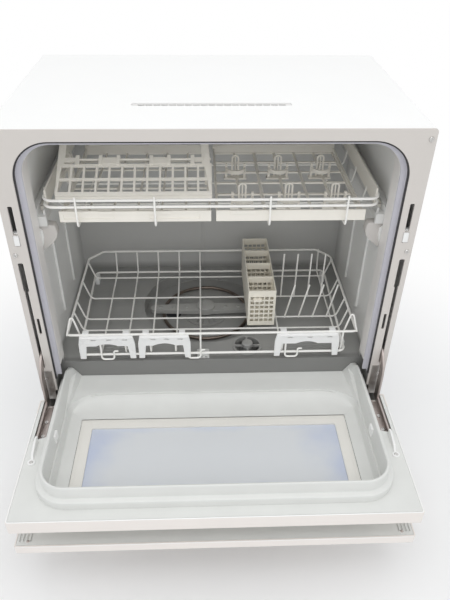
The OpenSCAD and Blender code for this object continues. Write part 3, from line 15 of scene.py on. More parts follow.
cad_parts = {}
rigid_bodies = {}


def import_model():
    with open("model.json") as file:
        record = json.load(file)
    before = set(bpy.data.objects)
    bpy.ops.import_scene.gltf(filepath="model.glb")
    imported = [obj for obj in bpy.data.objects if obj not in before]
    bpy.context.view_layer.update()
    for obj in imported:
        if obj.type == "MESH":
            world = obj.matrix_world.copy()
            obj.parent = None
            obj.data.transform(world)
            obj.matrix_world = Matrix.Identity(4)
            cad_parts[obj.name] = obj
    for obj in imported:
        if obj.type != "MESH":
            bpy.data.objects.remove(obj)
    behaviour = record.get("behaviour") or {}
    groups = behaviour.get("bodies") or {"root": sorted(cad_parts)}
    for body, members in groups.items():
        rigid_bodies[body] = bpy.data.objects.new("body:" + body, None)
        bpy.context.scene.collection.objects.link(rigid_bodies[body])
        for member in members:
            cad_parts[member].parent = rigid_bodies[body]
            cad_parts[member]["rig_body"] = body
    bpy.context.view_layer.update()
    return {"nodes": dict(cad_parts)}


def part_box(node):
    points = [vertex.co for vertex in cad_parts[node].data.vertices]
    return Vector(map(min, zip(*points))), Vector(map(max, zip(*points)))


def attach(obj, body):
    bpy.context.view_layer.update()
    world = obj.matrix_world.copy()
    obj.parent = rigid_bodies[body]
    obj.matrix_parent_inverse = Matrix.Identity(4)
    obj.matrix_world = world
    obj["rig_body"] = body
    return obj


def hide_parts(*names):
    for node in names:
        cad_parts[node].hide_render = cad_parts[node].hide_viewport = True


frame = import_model()

# %% [markdown]
# A dishwasher is drawn from its front face: the fitter measures depth from there, width from
# the middle and height from the worktop. The same habit is kept here, in millimetres, and one
# function turns such a place into the model's metres.

# %% Places in cabinet millimetres
MM = 0.001
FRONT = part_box("front_frame")[0].y / MM


def place(x, y, z):
    """A place in the model from cabinet millimetres."""
    return Vector((x, FRONT + y, z)) * MM


print("front face at", round(FRONT, 1), "mm")

# %% [markdown]
# Every surface takes its colour from a hex value as the eye sees it on a screen, so one
# function turns it into the linear light that the renderer mixes. Materials are small node
# trees. One function adds a node with its values and links, which keeps each recipe short.

# %% Colour and node helpers


def linear(code):
    """Linear red, green, blue and alpha of a hex colour."""
    parts = [int(code[i : i + 2], 16) / 255 for i in (1, 3, 5)]
    return [c / 12.92 if c <= 0.04045 else ((c + 0.055) / 1.055) ** 2.4 for c in parts] + [1.0]


def add(tree, kind, values=()):
    """Adds one shader node; values are its properties, and numbers or links for its sockets."""
    node = tree.nodes.new("ShaderNode" + kind)
    for key, value in dict(values).items():
        if isinstance(value, bpy.types.NodeSocket):
            tree.links.new(value, node.inputs[key])
        elif isinstance(key, str) and hasattr(node, key):
            setattr(node, key, value)
        else:
            node.inputs[key].default_value = value
    return node


def mix(tree, share, below, above):
    """The colour between two others as share rises from 0 to 1."""
    return add(tree, "Mix", {"data_type": "RGBA", 0: share, 6: below, 7: above}).outputs[2]


def ranged(tree, value, start, end, low=0.0, high=1.0, kind="LINEAR"):
    """Turns a value between start and end into one between low and high."""
    ends = {"From Min": start, "From Max": end, "To Min": low, "To Max": high}
    values = {"interpolation_type": kind, "Value": value, **ends}
    return add(tree, "MapRange", values).outputs["Result"]


def maths(tree, operation, *inputs, clamp=False):
    """The result of one sum."""
    values = {"operation": operation, "use_clamp": clamp, **dict(enumerate(inputs))}
    return add(tree, "Math", values).outputs[0]


def new_material(name):
    """An empty material, its tree, and the place on the object that patterns use."""
    material = bpy.data.materials.new(name)
    material.use_nodes = True
    tree = material.node_tree
    tree.nodes.clear()
    return material, tree, add(tree, "TexCoord").outputs["Object"]


def finish_material(tree, values):
    """Adds the shader that everything feeds, and the output."""
    shader = add(tree, "BsdfPrincipled", values)
    add(tree, "OutputMaterial", {"Surface": shader.outputs["BSDF"]})


print("colour and node helpers ready")

# %% [markdown]
# Moulded plastic is never one even tone. The melt flows and cools unevenly, which leaves a slow
# change of tone over some centimetres, and the tool's spark-eroded wall leaves a fine grain.
# Both are drawn from the piece's own coordinates, so the pattern has its real size. Edges of
# moulded pieces are eased by a small radius, and the bevel node gives them their thin light.

# %% Moulded and coated surfaces
BUMP_STRENGTH = 0.6
# Gloss wanders with the patches by this share to either side
GLOSS_WANDERS = 0.12


def noise(tree, where, size_mm, detail=2.0):
    """Noise whose grains are about size_mm wide."""
    values = {"Scale": 1 / (size_mm * MM), "Detail": detail, "Vector": where}
    return add(tree, "TexNoise", values).outputs["Fac"]


def spread(tree, source, low, high):
    """Turns noise, which stays near its middle, into a value between low and high."""
    return ranged(tree, source, 0.3, 0.7, low, high)


def shade(code, factor):
    """A colour made a little darker or lighter."""
    return [min(1.0, c * factor) for c in linear(code)[:3]] + [1.0]


def edge_light(tree, radius_mm):
    """Normals that round off each edge, so that it catches a thin light."""
    return add(tree, "Bevel", {"samples": 4, "Radius": radius_mm * MM}).outputs["Normal"]


def rising(axis, start_mm, end_mm):
    """A mask that goes from 0 at one place of the model's axis to 1 at another."""

    def mask(tree, where):
        reach = add(tree, "SeparateXYZ", {"Vector": where}).outputs[axis]
        return ranged(tree, reach, start_mm * MM, end_mm * MM)

    return mask


def beyond(depth_mm, soft_mm=0.8):
    """A mask that is 0 in front of a depth behind the front face and 1 behind it."""
    return rising("Y", FRONT + depth_mm - soft_mm, FRONT + depth_mm + soft_mm)


def lower_than(height_mm, soft_mm=6):
    """A mask that is 1 below a height."""
    return rising("Z", height_mm + soft_mm, height_mm - soft_mm)


# The bar below the opening, and how softly its painted shade ends
SILL_DEPTH, SILL_TOP, SILL_SOFT = 44, 206, 3


def sill(tree, where):
    """A mask for the painted shade that the door casts on the opening's lower bar."""
    low = lower_than(SILL_TOP, SILL_SOFT)(tree, where)
    behind = beyond(SILL_DEPTH, SILL_SOFT)(tree, where)
    return maths(tree, "SUBTRACT", low, behind, clamp=True)


def surface(name, code, rough, grain_mm, depth_mm, tone, edge_mm=0.5, patch_mm=45, second=()):
    """A grained, slightly uneven surface. tone is how far its lightness wanders.

    second holds other colours, each with the mask where it shows.
    """
    material, tree, where = new_material(name)
    patches = noise(tree, where, patch_mm, 3)
    share = spread(tree, patches, 0, 1)
    colour = mix(tree, share, shade(code, 1 - tone), shade(code, 1 + tone))
    for other, mask in second:
        colour = mix(tree, mask(tree, where), colour, linear(other))
    grain = {"Strength": BUMP_STRENGTH, "Distance": depth_mm * MM}
    grain.update(Height=noise(tree, where, grain_mm), Normal=edge_light(tree, edge_mm))
    normal = add(tree, "Bump", grain).outputs["Normal"]
    wander = rough * GLOSS_WANDERS
    gloss = spread(tree, patches, rough - wander, rough + wander)
    finish_material(tree, {"Base Color": colour, "Roughness": gloss, "Normal": normal})
    return material


# Polyester powder baked on steel: a very fine orange peel that softens reflections.
# The real peel is about 0.8 mm; it is drawn at 2 mm, or it would vanish between pixels
powder_steel = surface("powder_coated_steel", "#eeeeed", 0.42, 2.0, 0.02, 0.008)
# The cover is a glossier moulding in the same white
cover_plastic = surface("moulded_cover_abs", "#f3f3f2", 0.38, 1.5, 0.01, 0.006)
# Spark-eroded polypropylene front in a warm light grey: dull, with an even fine grain
frame_plastic = surface("front_frame_pp", "#d4cfca", 0.55, 1.6, 0.03, 0.012)
# Tub: polished tool, so it gleams softly, and detergent leaves a faint cloudiness. The rim
# that frames the opening is moulded first, in beige, and the grey tub is moulded onto it.
# The back wall, the foot of the walls and the lower bar are painted darker as painted shade
RIM_DEPTH, BACK_DEPTH, FLOOR_SHADE = 42.5, 290, 208
tub_rim_and_painted_shade = (
    ("#f6f6f4", beyond(RIM_DEPTH)),
    ("#cbcbc9", beyond(BACK_DEPTH, 20)),
    ("#a2a2a0", lower_than(FLOOR_SHADE)),
    ("#858583", sill),
)
tub_plastic = surface(
    "tub_polypropylene", "#f0edea", 0.34, 3.0, 0.02, 0.03, patch_mm=70, second=tub_rim_and_painted_shade
)
# Door liner: pale grey polypropylene, satin
liner_plastic = surface("liner_polypropylene", "#e0e1de", 0.36, 2.0, 0.015, 0.02)
# Coated outer sheet of the doors
door_steel = surface("door_coated_sheet", "#f1ebe6", 0.40, 2.0, 0.015, 0.01)
# Nylon over wire: dipped, so it is rounded, warm and a little waxy
nylon_wire = surface("nylon_coated_wire", "#fcfbf7", 0.33, 1.5, 0.01, 0.02, edge_mm=0.3)
# Ivory polypropylene of the cup tray and the glass tray
tray_plastic = surface("tray_polypropylene", "#f5f1e8", 0.40, 1.6, 0.015, 0.02, edge_mm=0.4)
# Snap-on clips of acetal: bright and hard, with a crisp light on each edge
clip_plastic = surface("clip_acetal", "#f6f6f5", 0.30, 1.5, 0.01, 0.01, edge_mm=0.4)
# Cutlery basket in beige
basket_plastic = surface("basket_polypropylene", "#f6f1e4", 0.45, 1.6, 0.015, 0.03)
# The pan under the tub, out of sight behind the doors
base_plastic = surface("base_polypropylene", "#c3c2bf", 0.50, 2.0, 0.02, 0.03)
# Steps of the tub's side walls, drawn darker than the tub as painted shade of the upper rack
rail_plastic = surface("tub_rail_end", "#cbc7c3", 0.45, 2.0, 0.02, 0.03)
# A paler colour on the fold of the doors' sheet: a painted highlight
hem_painted_highlight = surface("folded_hem_painted_highlight", "#fbfbfa", 0.30, 1.5, 0.005, 0.005, edge_mm=0.3)
# The dark grey strip over the gap under the tub
sill_plastic = surface("sill_cover_pp", "#7f7f7d", 0.50, 2.0, 0.02, 0.04)
# Small mouldings of the racks, the tub and the controls
white_plastic = surface("small_white_mouldings", "#f2f2f1", 0.35, 1.5, 0.01, 0.01)
runner_plastic = surface("runner_acetal", "#dcdcda", 0.34, 1.6, 0.015, 0.02)
spray_plastic = surface("spray_arm_pp", "#b7b7b4", 0.40, 1.6, 0.015, 0.04)
filter_plastic = surface("filter_pp", "#a2a2a0", 0.42, 1.6, 0.02, 0.05)
button_plastic = surface("button_abs", "#d9d9d8", 0.32, 1.5, 0.01, 0.02)
vent_plastic = surface("vent_grille_pp", "#e0dfdd", 0.50, 2.0, 0.02, 0.03)
# Services inside and behind: dark housings, a coloured coil and a lacquered board
duct_plastic = surface("duct_pp", "#77797b", 0.50, 2.0, 0.02, 0.05)
pump_plastic = surface("pump_housing_pp", "#3d4044", 0.42, 1.8, 0.03, 0.10)
valve_plastic = surface("valve_coil_nylon", "#3f6f9a", 0.40, 1.8, 0.02, 0.06)
board_resin = surface("circuit_board", "#1f5c3c", 0.30, 2.5, 0.03, 0.12, patch_mm=8)
# The window's border and the lamps' clear lenses
window_border = surface("window_border_abs", "#eceae4", 0.34, 1.6, 0.01, 0.01, edge_mm=0.3)
lens_plastic = surface("lens_acrylic", "#dfeee0", 0.12, 2.0, 0.005, 0.02)
# Rubber of the feet and of the cord's gland
foot_rubber = surface("foot_rubber", "#6b6a68", 0.75, 1.2, 0.04, 0.06)
gland_rubber = surface("gland_rubber", "#2b2b2c", 0.70, 1.2, 0.04, 0.10)
print(len(bpy.data.materials), "plain surfaces")

# %% [markdown]
# Pressed steel is zinc-plated against the wet, and zinc freezes in pale and dark patches of a
# few millimetres. Screws are bright. A tube heater has a brown bloom from its own heat.

# %% Metals


def metal(name, code, rough, spangle_mm, contrast, edge_mm=0.4):
    """Plated metal whose tone and gloss change from grain to grain."""
    material, tree, where = new_material(name)
    cells = {"feature": "F1", "Scale": 1 / (spangle_mm * MM), "Vector": where}
    grains = add(tree, "TexVoronoi", cells).outputs["Color"]
    level = add(tree, "RGBToBW", {"Color": grains}).outputs["Val"]
    colour = mix(tree, level, shade(code, 1 - contrast), shade(code, 1 + contrast))
    gloss = spread(tree, level, rough * 0.8, rough * 1.2)
    values = {"Metallic": 1.0, "Base Color": colour, "Roughness": gloss}
    finish_material(tree, {**values, "Normal": edge_light(tree, edge_mm)})
    return material


zinc_steel = metal("zinc_plated_steel", "#b4b2af", 0.38, 3.0, 0.08)
arm_steel = metal("plated_arm_steel", "#b9b0ac", 0.46, 3.0, 0.08)
screw_steel = metal("bright_screw", "#cfcecc", 0.22, 1.0, 0.05, 0.2)
heater_steel = metal("heater_tube", "#8b8078", 0.35, 6.0, 0.15)
brass = metal("turned_brass", "#c9a45c", 0.28, 2.0, 0.05)
print(len(bpy.data.materials), "materials with the metals")

# %% [markdown]
# The seal round the opening is one strip of rubber. Its front part is painted dark, a painted
# shade of the recess between the frame and the seal that shows as a thin line; behind it is a
# lavender-grey face for the door's wall to press on.
# The window is clear acrylic, grey in the middle, with a painted reflection that turns it bluer
# towards its rim.

# %% Rubber seal and window panes
# The strip's painted shade ends this far behind the front face
SEAL_FACE = 4.5
# The pane's colour changes between these shares of the way from its middle to its rim; on the
# window this is a painted reflection
RIM_CHANGE_START, RIM_CHANGE_END = 0.62, 1.08
PANE_IOR = 1.49

# EPDM rubber, extruded: dull, with a faint sheen where it is stretched round a corner
face = (("#cccbd2", beyond(SEAL_FACE, 0.2)),)
# The dark base colour is painted shade; the lavender face behind it is the seal's own colour
seal_rubber = surface("seal_epdm", "#2f2e31", 0.48, 1.2, 0.03, 0.03, 0.2, second=face)


def pane_material(name, node, middle, rim, alpha, rough):
    """A pane whose colour changes towards the rim of the given node; on the window the bluer
    rim is a painted reflection.
    """
    material, tree, where = new_material(name)
    low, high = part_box(node)
    reach = (high - low) / 2
    to_rim = {"vector_type": "TEXTURE", "Vector": where}
    to_rim.update(Location=(low + high) / 2, Scale=(reach.x, reach.y, 1.0))
    turned = add(tree, "Mapping", to_rim).outputs["Vector"]
    axes = add(tree, "SeparateXYZ", {"Vector": turned}).outputs
    aside, ahead = (maths(tree, "ABSOLUTE", axes[axis]) for axis in "XY")
    far = maths(tree, "MAXIMUM", aside, ahead)
    cloud = noise(tree, where, 80, 3)
    edge = maths(tree, "ADD", far, maths(tree, "MULTIPLY_ADD", cloud, 0.5, -0.25))
    share = ranged(tree, edge, RIM_CHANGE_START, RIM_CHANGE_END, kind="SMOOTHSTEP")
    tint_and_painted_reflection = mix(tree, share, linear(middle), linear(rim))
    values = {"Base Color": tint_and_painted_reflection, "Roughness": rough, "IOR": PANE_IOR, "Alpha": alpha}
    finish_material(tree, values)
    return material


# The window's bluer rim is a painted reflection of the surroundings
clear_pane = pane_material("window_acrylic", "inner_pane", "#e2e5e8", "#c4cee6", 0.96, 0.2)
smoke_pane = pane_material("outer_pane_glass", "outer_pane", "#5a646d", "#4a545e", 0.88, 0.06)
print("seal and panes ready")

# %% [markdown]
# The CAD faces are exact, but their edges are sharp. A moulded or pressed piece has none, so
# each shown node gets a copy whose long edges are rounded and whose flat faces stay flat.
# The copy stands for the node and rides on the same body, and the node itself isn't touched.

# %% Eased copies of the CAD pieces
SHARP = math.radians(35)
SAME_PLACE_MM = 0.01
# The cup tray's posts end here, below the leaning shelf
LUG_TOP = 496.5
# The clips stand on the lower rack's front rail, which is drawn lower than the solid one
CLIP_SQUASH = 0.72
BODY_OF = {n: o["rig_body"] for n, o in frame["nodes"].items()}


def dress(obj, node, material):
    """Gives a piece its finish and the body of the node it belongs to."""
    obj.data.materials.clear()
    obj.data.materials.append(material)
    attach(obj, BODY_OF[node])
    return obj


def new_object(name, data):
    """An object in the scene, made of a mesh, a lamp or a camera."""
    obj = bpy.data.objects.new(name, data)
    bpy.context.scene.collection.objects.link(obj)
    return obj


def bevel(work, edges, width_mm, segments=2, profile=0.6):
    """Rounds the given edges of a piece that is being built."""
    bmesh.ops.bevel(
        work,
        geom=edges,
        offset=width_mm * MM,
        segments=segments,
        profile=profile,
        affect="EDGES",
        clamp_overlap=True,
    )


def keep_flat(obj):
    """Shades round faces round and keeps flat faces flat."""
    obj.data.shade_smooth()
    weigh = obj.modifiers.new("flat_faces_stay_flat", "WEIGHTED_NORMAL")
    weigh.keep_sharp = True


def smooth(obj, node, material):
    """Shades a piece and puts it in place of its node."""
    keep_flat(obj)
    obj.data.set_sharp_from_angle(angle=SHARP)
    dress(obj, node, material)
    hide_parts(node)
    return obj


def reshape(work, node):
    """Shortens the two pieces that the photograph shows lower than their nodes."""
    if node == "cup_tray":
        cut = {"plane_co": place(0, 0, LUG_TOP), "plane_no": (0, 0, 1), "clear_outer": True}
        whole = work.verts[:] + work.edges[:] + work.faces[:]
        bmesh.ops.bisect_plane(work, geom=whole, **cut)
        bmesh.ops.holes_fill(work, edges=[e for e in work.edges if e.is_boundary])
    if node == "rack_clips":
        foot = min(v.co.z for v in work.verts)
        for v in work.verts:
            v.co.z = foot + (v.co.z - foot) * CLIP_SQUASH


def eased(node, material, width_mm):
    """A copy of a CAD node with rounded edges, which replaces it."""
    work = bmesh.new()
    mesh = frame["nodes"][node].data.copy()
    work.from_mesh(mesh)
    bmesh.ops.remove_doubles(work, verts=work.verts, dist=SAME_PLACE_MM * MM)
    reshape(work, node)
    flat = math.radians(1)
    bmesh.ops.dissolve_limit(work, angle_limit=flat, verts=work.verts, edges=work.edges)
    if width_mm:
        inner = [e for e in work.edges if len(e.link_faces) == 2]
        bevel(work, [e for e in inner if e.calc_face_angle(0) > SHARP], width_mm)
    work.to_mesh(mesh)
    work.free()
    smooth(new_object(node + "_shell", mesh), node, material)


# Each finish, its nodes and the width of their rounded edges in millimetres
EASED = {
    cover_plastic: {"top_cover": 1.0},
    powder_steel: {"side_panel_left": 0.6, "side_panel_right": 0.6, "back_panel": 0.3},
    frame_plastic: {"front_frame": 0.4},
    white_plastic: {"slot_tabs": 0.3, "base_front": 0.8, "door_hooks": 0.4},
    base_plastic: {"base_pan": 0.5},
    sill_plastic: {"sill_cover": 1.0},
    foot_rubber: {"feet": 0.8},
    tub_plastic: {"tub": 0.8},
    filter_plastic: {"well_cover": 0.3, "residue_filter": 0.3},
    runner_plastic: {"float_cover": 0.5, "runner_left": 0.6, "runner_right": 0.6},
    zinc_steel: {"hinge_bracket_left": 0.3, "hinge_bracket_right": 0.3},
    arm_steel: {"hinge_arm_left": 0.3, "hinge_arm_right": 0.3, "lower_door_ears": 0.3},
    screw_steel: {
        "frame_screws": 0.15,
        "hinge_pins": 0.2,
        "door_screws": 0.15,
        "lower_door_screws": 0.15,
    },
    heater_steel: {"heater": 0},
    pump_plastic: {"wash_pump": 0.6, "drain_pump": 0.6, "drying_fan": 0.6},
    duct_plastic: {"air_duct": 0.5, "drain_spigot": 0.3},
    valve_plastic: {"inlet_valve": 0.5},
    board_resin: {"control_board": 0},
    brass: {"inlet_nipple": 0.2},
    gland_rubber: {"cord_gland": 0.4},
    lens_plastic: {"indicator_lenses": 0.2},
    button_plastic: {f"{n}_button": 0.5 for n in ("start", "power", "course", "dry")},
    spray_plastic: {"spray_arm": 0.6},
    door_steel: {"upper_door_outer": 0.6, "lower_door_outer": 0.6},
    window_border: {"window_frame": 0.2},
    clear_pane: {"inner_pane": 0.2},
    smoke_pane: {"outer_pane": 0.2},
    liner_plastic: {"lower_door_liner": 0.8},
    tray_plastic: {"cup_tray": 0.3, "glass_tray": 0.3},
    clip_plastic: {"rack_clips": 0.3},
    basket_plastic: {"cutlery_basket": 0.3},
    seal_rubber: {"tub_gasket": 0.2},
    vent_plastic: {"vent_grille": 0.2},
}
for finish, widths in EASED.items():
    for node, width_mm in widths.items():
        eased(node, finish, width_mm)
print(sum(len(w) for w in EASED.values()), "eased pieces")

# %% [markdown]
# A wire rack is bent on a bench: each wire is one rod with round bends, and a nylon dip fills
# the welds. So each wire here is a list of corners, the corners are rounded to a bend radius,
# and a ring of points is swept along the result. The ends are domed, as a dip leaves them.

# %% Bent and swept wires
RING = 12
BEND_STEP = math.radians(18)
# A bend takes less than half of each run beside it, so two bends never meet
BEND_SHARE = 0.48
# A smaller turn, in radians, is left straight
STRAIGHT = 0.02
# Rings of a domed end, from its tip: along the wire, and across it
DOME = [(math.sin(a), math.cos(a)) for a in map(math.radians, (75, 50, 25))]


def rounded_route(points, radius, closed):
    """The route with each corner turned into an arc of the bend radius, in millimetres."""
    count = len(points)
    route = []
    for i, point in enumerate(points):
        point = Vector(point)
        if not closed and i in (0, count - 1):
            route.append(point)
            continue
        back = Vector(points[i - 1]) - point
        on = Vector(points[(i + 1) % count]) - point
        turn = math.pi - back.angle(on)
        if turn < STRAIGHT:
            route.append(point)
            continue
        longest = BEND_SHARE * min(back.length, on.length)
        reach = min(radius * math.tan(turn / 2), longest)
        back.normalize()
        on.normalize()
        middle = point + (back + on).normalized() * reach / math.sin(turn / 2)
        arm_a, arm_b = point + back * reach - middle, point + on * reach - middle
        steps = max(2, round(turn / BEND_STEP))
        for k in range(steps + 1):
            share = k / steps
            a = math.sin((1 - share) * turn) / math.sin(turn)
            b = math.sin(share * turn) / math.sin(turn)
            route.append(middle + arm_a * a + arm_b * b)
    return route


def bands(work, rows, closed=True):
    """Joins each row of points to the next with a band of faces; closed rows run round."""
    for a, b in zip(rows, rows[1:]):
        for i in range(len(a) if closed else len(a) - 1):
            n = (i + 1) % len(a)
            work.faces.new((a[i], a[n], b[n], b[i]))


def face_out(work):
    """Turns all faces outward."""
    bmesh.ops.recalc_face_normals(work, faces=work.faces)


def sweep(work, route, diameter, closed=False):
    """Adds a tube along a route to a mesh, with domed ends unless it is closed."""
    radius = diameter / 2
    count = len(route)
    tangents = []
    for i in range(count):
        before = route[i - 1] if closed or i else route[i]
        after = route[(i + 1) % count] if closed or i < count - 1 else route[i]
        tangents.append((after - before).normalized())
    side = tangents[0].orthogonal().normalized()
    rings = []
    for centre, tangent in zip(route, tangents):
        side = (side - tangent * side.dot(tangent)).normalized()
        rings.append((centre, side, tangent.cross(side), 1.0))
    if not closed:
        first, last = rings[0], rings[-1]
        out, on = tangents[0] * radius, tangents[-1] * radius
        start = [(first[0] - out * s, *first[1:3], c) for s, c in DOME]
        end = [(last[0] + on * s, *last[1:3], c) for s, c in reversed(DOME)]
        rings = start + rings + end
    made = []
    for centre, right, up, scale in rings:
        corners = []
        for k in range(RING):
            angle = math.tau * k / RING
            offset = (right * math.cos(angle) + up * math.sin(angle)) * radius * scale
            corners.append(work.verts.new(place(*(centre + offset))))
        made.append(corners)
    bands(work, made + made[:1] if closed else made)
    if not closed:
        work.faces.new(list(reversed(made[0])))
        work.faces.new(made[-1])


def to_mesh(work, name):
    """The finished mesh of a piece that was being built."""
    mesh = bpy.data.meshes.new(name)
    work.to_mesh(mesh)
    work.free()
    return mesh


def wires(name, node, material, runs):
    """One piece made of wires. Each run is (corners, diameter, bend radius, closed)."""
    work = bmesh.new()
    for corners, diameter, bend, closed in runs:
        sweep(work, rounded_route(corners, bend, closed), diameter, closed)
    face_out(work)
    obj = new_object(name, to_mesh(work, name))
    obj.data.shade_smooth()
    return dress(obj, node, material)


def mirrored(points):
    """A route from the left to the right, from the points of its left half."""
    return points + [(-x, y, z) for x, y, z in reversed(points)]


print("wires are rings of", RING, "points")

# %% [markdown]
# The upper rack is a shallow basket: two rails run round the front with wide bends, the upper
# one goes on to the back, and four uprights carry the trays on wires that pass below them.

# %% Upper rack
RAIL, WIRE = 4.0, 3.0
RACK_HALF = 233.0
RACK_FRONT, RACK_BACK = 46.0, 300.0
RAIL_TOP, RAIL_LOW = 482.0, 472.0
TRAY = 446.0
CORNER, BEND = 14.0, 6.0
UPRIGHTS = (-188, -80, 80, 188)
CROSSES = (110, 180, 250)


def front_rail(height, back):
    """A rail from one side round the front to the other."""
    left = [(-RACK_HALF, back, height), (-RACK_HALF, RACK_FRONT, height)]
    return mirrored(left), RAIL, CORNER, False


upper = [
    front_rail(RAIL_TOP, RACK_BACK),
    (mirrored([(-RACK_HALF, RACK_BACK, RAIL_TOP)]), RAIL, CORNER, False),
    front_rail(RAIL_LOW, RACK_FRONT + 30),
]
for x in UPRIGHTS:
    upright = [
        (x, RACK_FRONT - 3.2, RAIL_TOP + 5),
        (x, RACK_FRONT - 3.2, TRAY - 4),
        (x, RACK_BACK + 1, TRAY - 4),
        (x, RACK_BACK + 1, RAIL_TOP),
    ]
    upper.append((upright, WIRE, BEND, False))
for y in CROSSES:
    left = [(-RACK_HALF, y, RAIL_TOP - 3), (-RACK_HALF + 8, y, TRAY - 2)]
    upper.append((mirrored(left), WIRE, BEND, False))
for side in (-1, 1):
    hook = [
        (side * RACK_HALF, RACK_FRONT + 18, RAIL_LOW),
        (side * (RACK_HALF - 0.5), RACK_FRONT + 23, RAIL_TOP + 8),
    ]
    upper.append((hook, WIRE + 0.4, BEND, False))
upper_wires = wires("upper_rack_wires", "upper_rack_frame", nylon_wire, upper)
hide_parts("upper_rack_frame")
print("upper rack", len(upper), "wires,", len(upper_wires.data.polygons), "faces")

# %% [markdown]
# The strips at the rack's sides are extruded profiles with a lip that runs in the wall's
# channel. They are thin and plain, so a box with eased edges for each leg is the real form.

# %% Side strips
SIDES = ((-1, "left"), (1, "right"))


def block(side, name, node, material, low, high, width_mm=0.6, rounds=3):
    """A box with rounded edges, given for the right side and mirrored for the left one."""
    low, high = place(side * low[0], *low[1:]), place(side * high[0], *high[1:])
    size = high - low
    size.x = abs(size.x)
    work = bmesh.new()
    bmesh.ops.create_cube(work, size=1.0)
    bmesh.ops.scale(work, vec=size, verts=work.verts)
    bmesh.ops.translate(work, vec=(low + high) / 2, verts=work.verts)
    bevel(work, list(work.edges), width_mm, rounds, 0.5)
    obj = new_object(name, to_mesh(work, name))
    keep_flat(obj)
    dress(obj, node, material)


# A strip's web beside the rack, its arm and lip in the channel, and its neck
STRIP_FRONT, STRIP_BACK = RACK_FRONT + 12, 296
ARM_LOW, ARM_TOP, ARM_OUT = 465.3, 468, 241
LEGS = {
    "web": ((RACK_HALF - 4, STRIP_FRONT, RAIL_TOP - 6), (RACK_HALF - 1, 299, RAIL_TOP + 10)),
    "arm": ((RACK_HALF - 2, STRIP_FRONT + 4, ARM_LOW), (ARM_OUT, STRIP_BACK, ARM_TOP)),
    "lip": ((235.6, STRIP_FRONT + 4, ARM_LOW - 6), (ARM_OUT, STRIP_BACK, ARM_TOP)),
    "neck": (
        (RACK_HALF - 3, STRIP_FRONT + 4, ARM_LOW),
        (RACK_HALF - 1, STRIP_BACK, RAIL_TOP - 4),
    ),
}
for side, label in SIDES:
    for leg, corners in LEGS.items():
        name = f"rack_strip_{leg}_{label}"
        block(side, name, "upper_rack_frame", tray_plastic, *corners)
print("side strips in the runners")

# %% [markdown]
# The cup shelf is one moulding: a grid that leans back by about thirty degrees, so that cups
# tip over it and drain. Two cheeks carry it to the hinge behind, and clips hold a thin rod
# along its top. Its bars lie on one slope, so each is given along the slope and square to it.

# %% Cup shelf
SLOPE = math.radians(30)
GRID_FRONT, GRID_FOOT = 56.0, 486.0
GRID_LEFT, GRID_RIGHT, GRID_CELLS = -214.6, -2.2, 12
# Half the width and half the thickness of a bar
HALF_BAR, HALF_THICK = 1.6, 1.4
# Bars across the slope: the place along it and half the width of each
CROSS_BARS = ((0.5, 3.2), (24.7, 2.0), (48.3, 2.3))
CLIPS = ((-159.4, -129.4), (-88.0, -58.5))
LUGS = (-192.0, -30.3)
TABS = ((-208.0, -191.0), (-26.0, -12.0))
ROD_ENDS, ROD_ALONG = (-193.0, -24.0), 58.0
HINGE_Y, HINGE_Z = 172.0, 488.0


def on_slope(x, along, above):
    """A place on the shelf: along its slope from the front edge, and above its plane."""
    c, s = math.cos(SLOPE), math.sin(SLOPE)
    return x, GRID_FRONT + along * c - above * s, GRID_FOOT + along * s + above * c


def side_on(y, z, x):
    """A place for an outline that is drawn as seen from the side."""
    return x, y, z


def plate(work, outline, low, high, spot=on_slope):
    """Adds a plate: an outline of points, thickened from low to high."""
    rings = [[work.verts.new(place(*spot(a, b, c))) for a, b in outline] for c in (low, high)]
    bands(work, rings)
    work.faces.new(list(reversed(rings[0])))
    work.faces.new(rings[1])


def bar(work, x0, x1, along0, along1, low=-HALF_THICK, high=HALF_THICK):
    """Adds a straight bar of the grid."""
    plate(work, [(x0, along0), (x1, along0), (x1, along1), (x0, along1)], low, high)


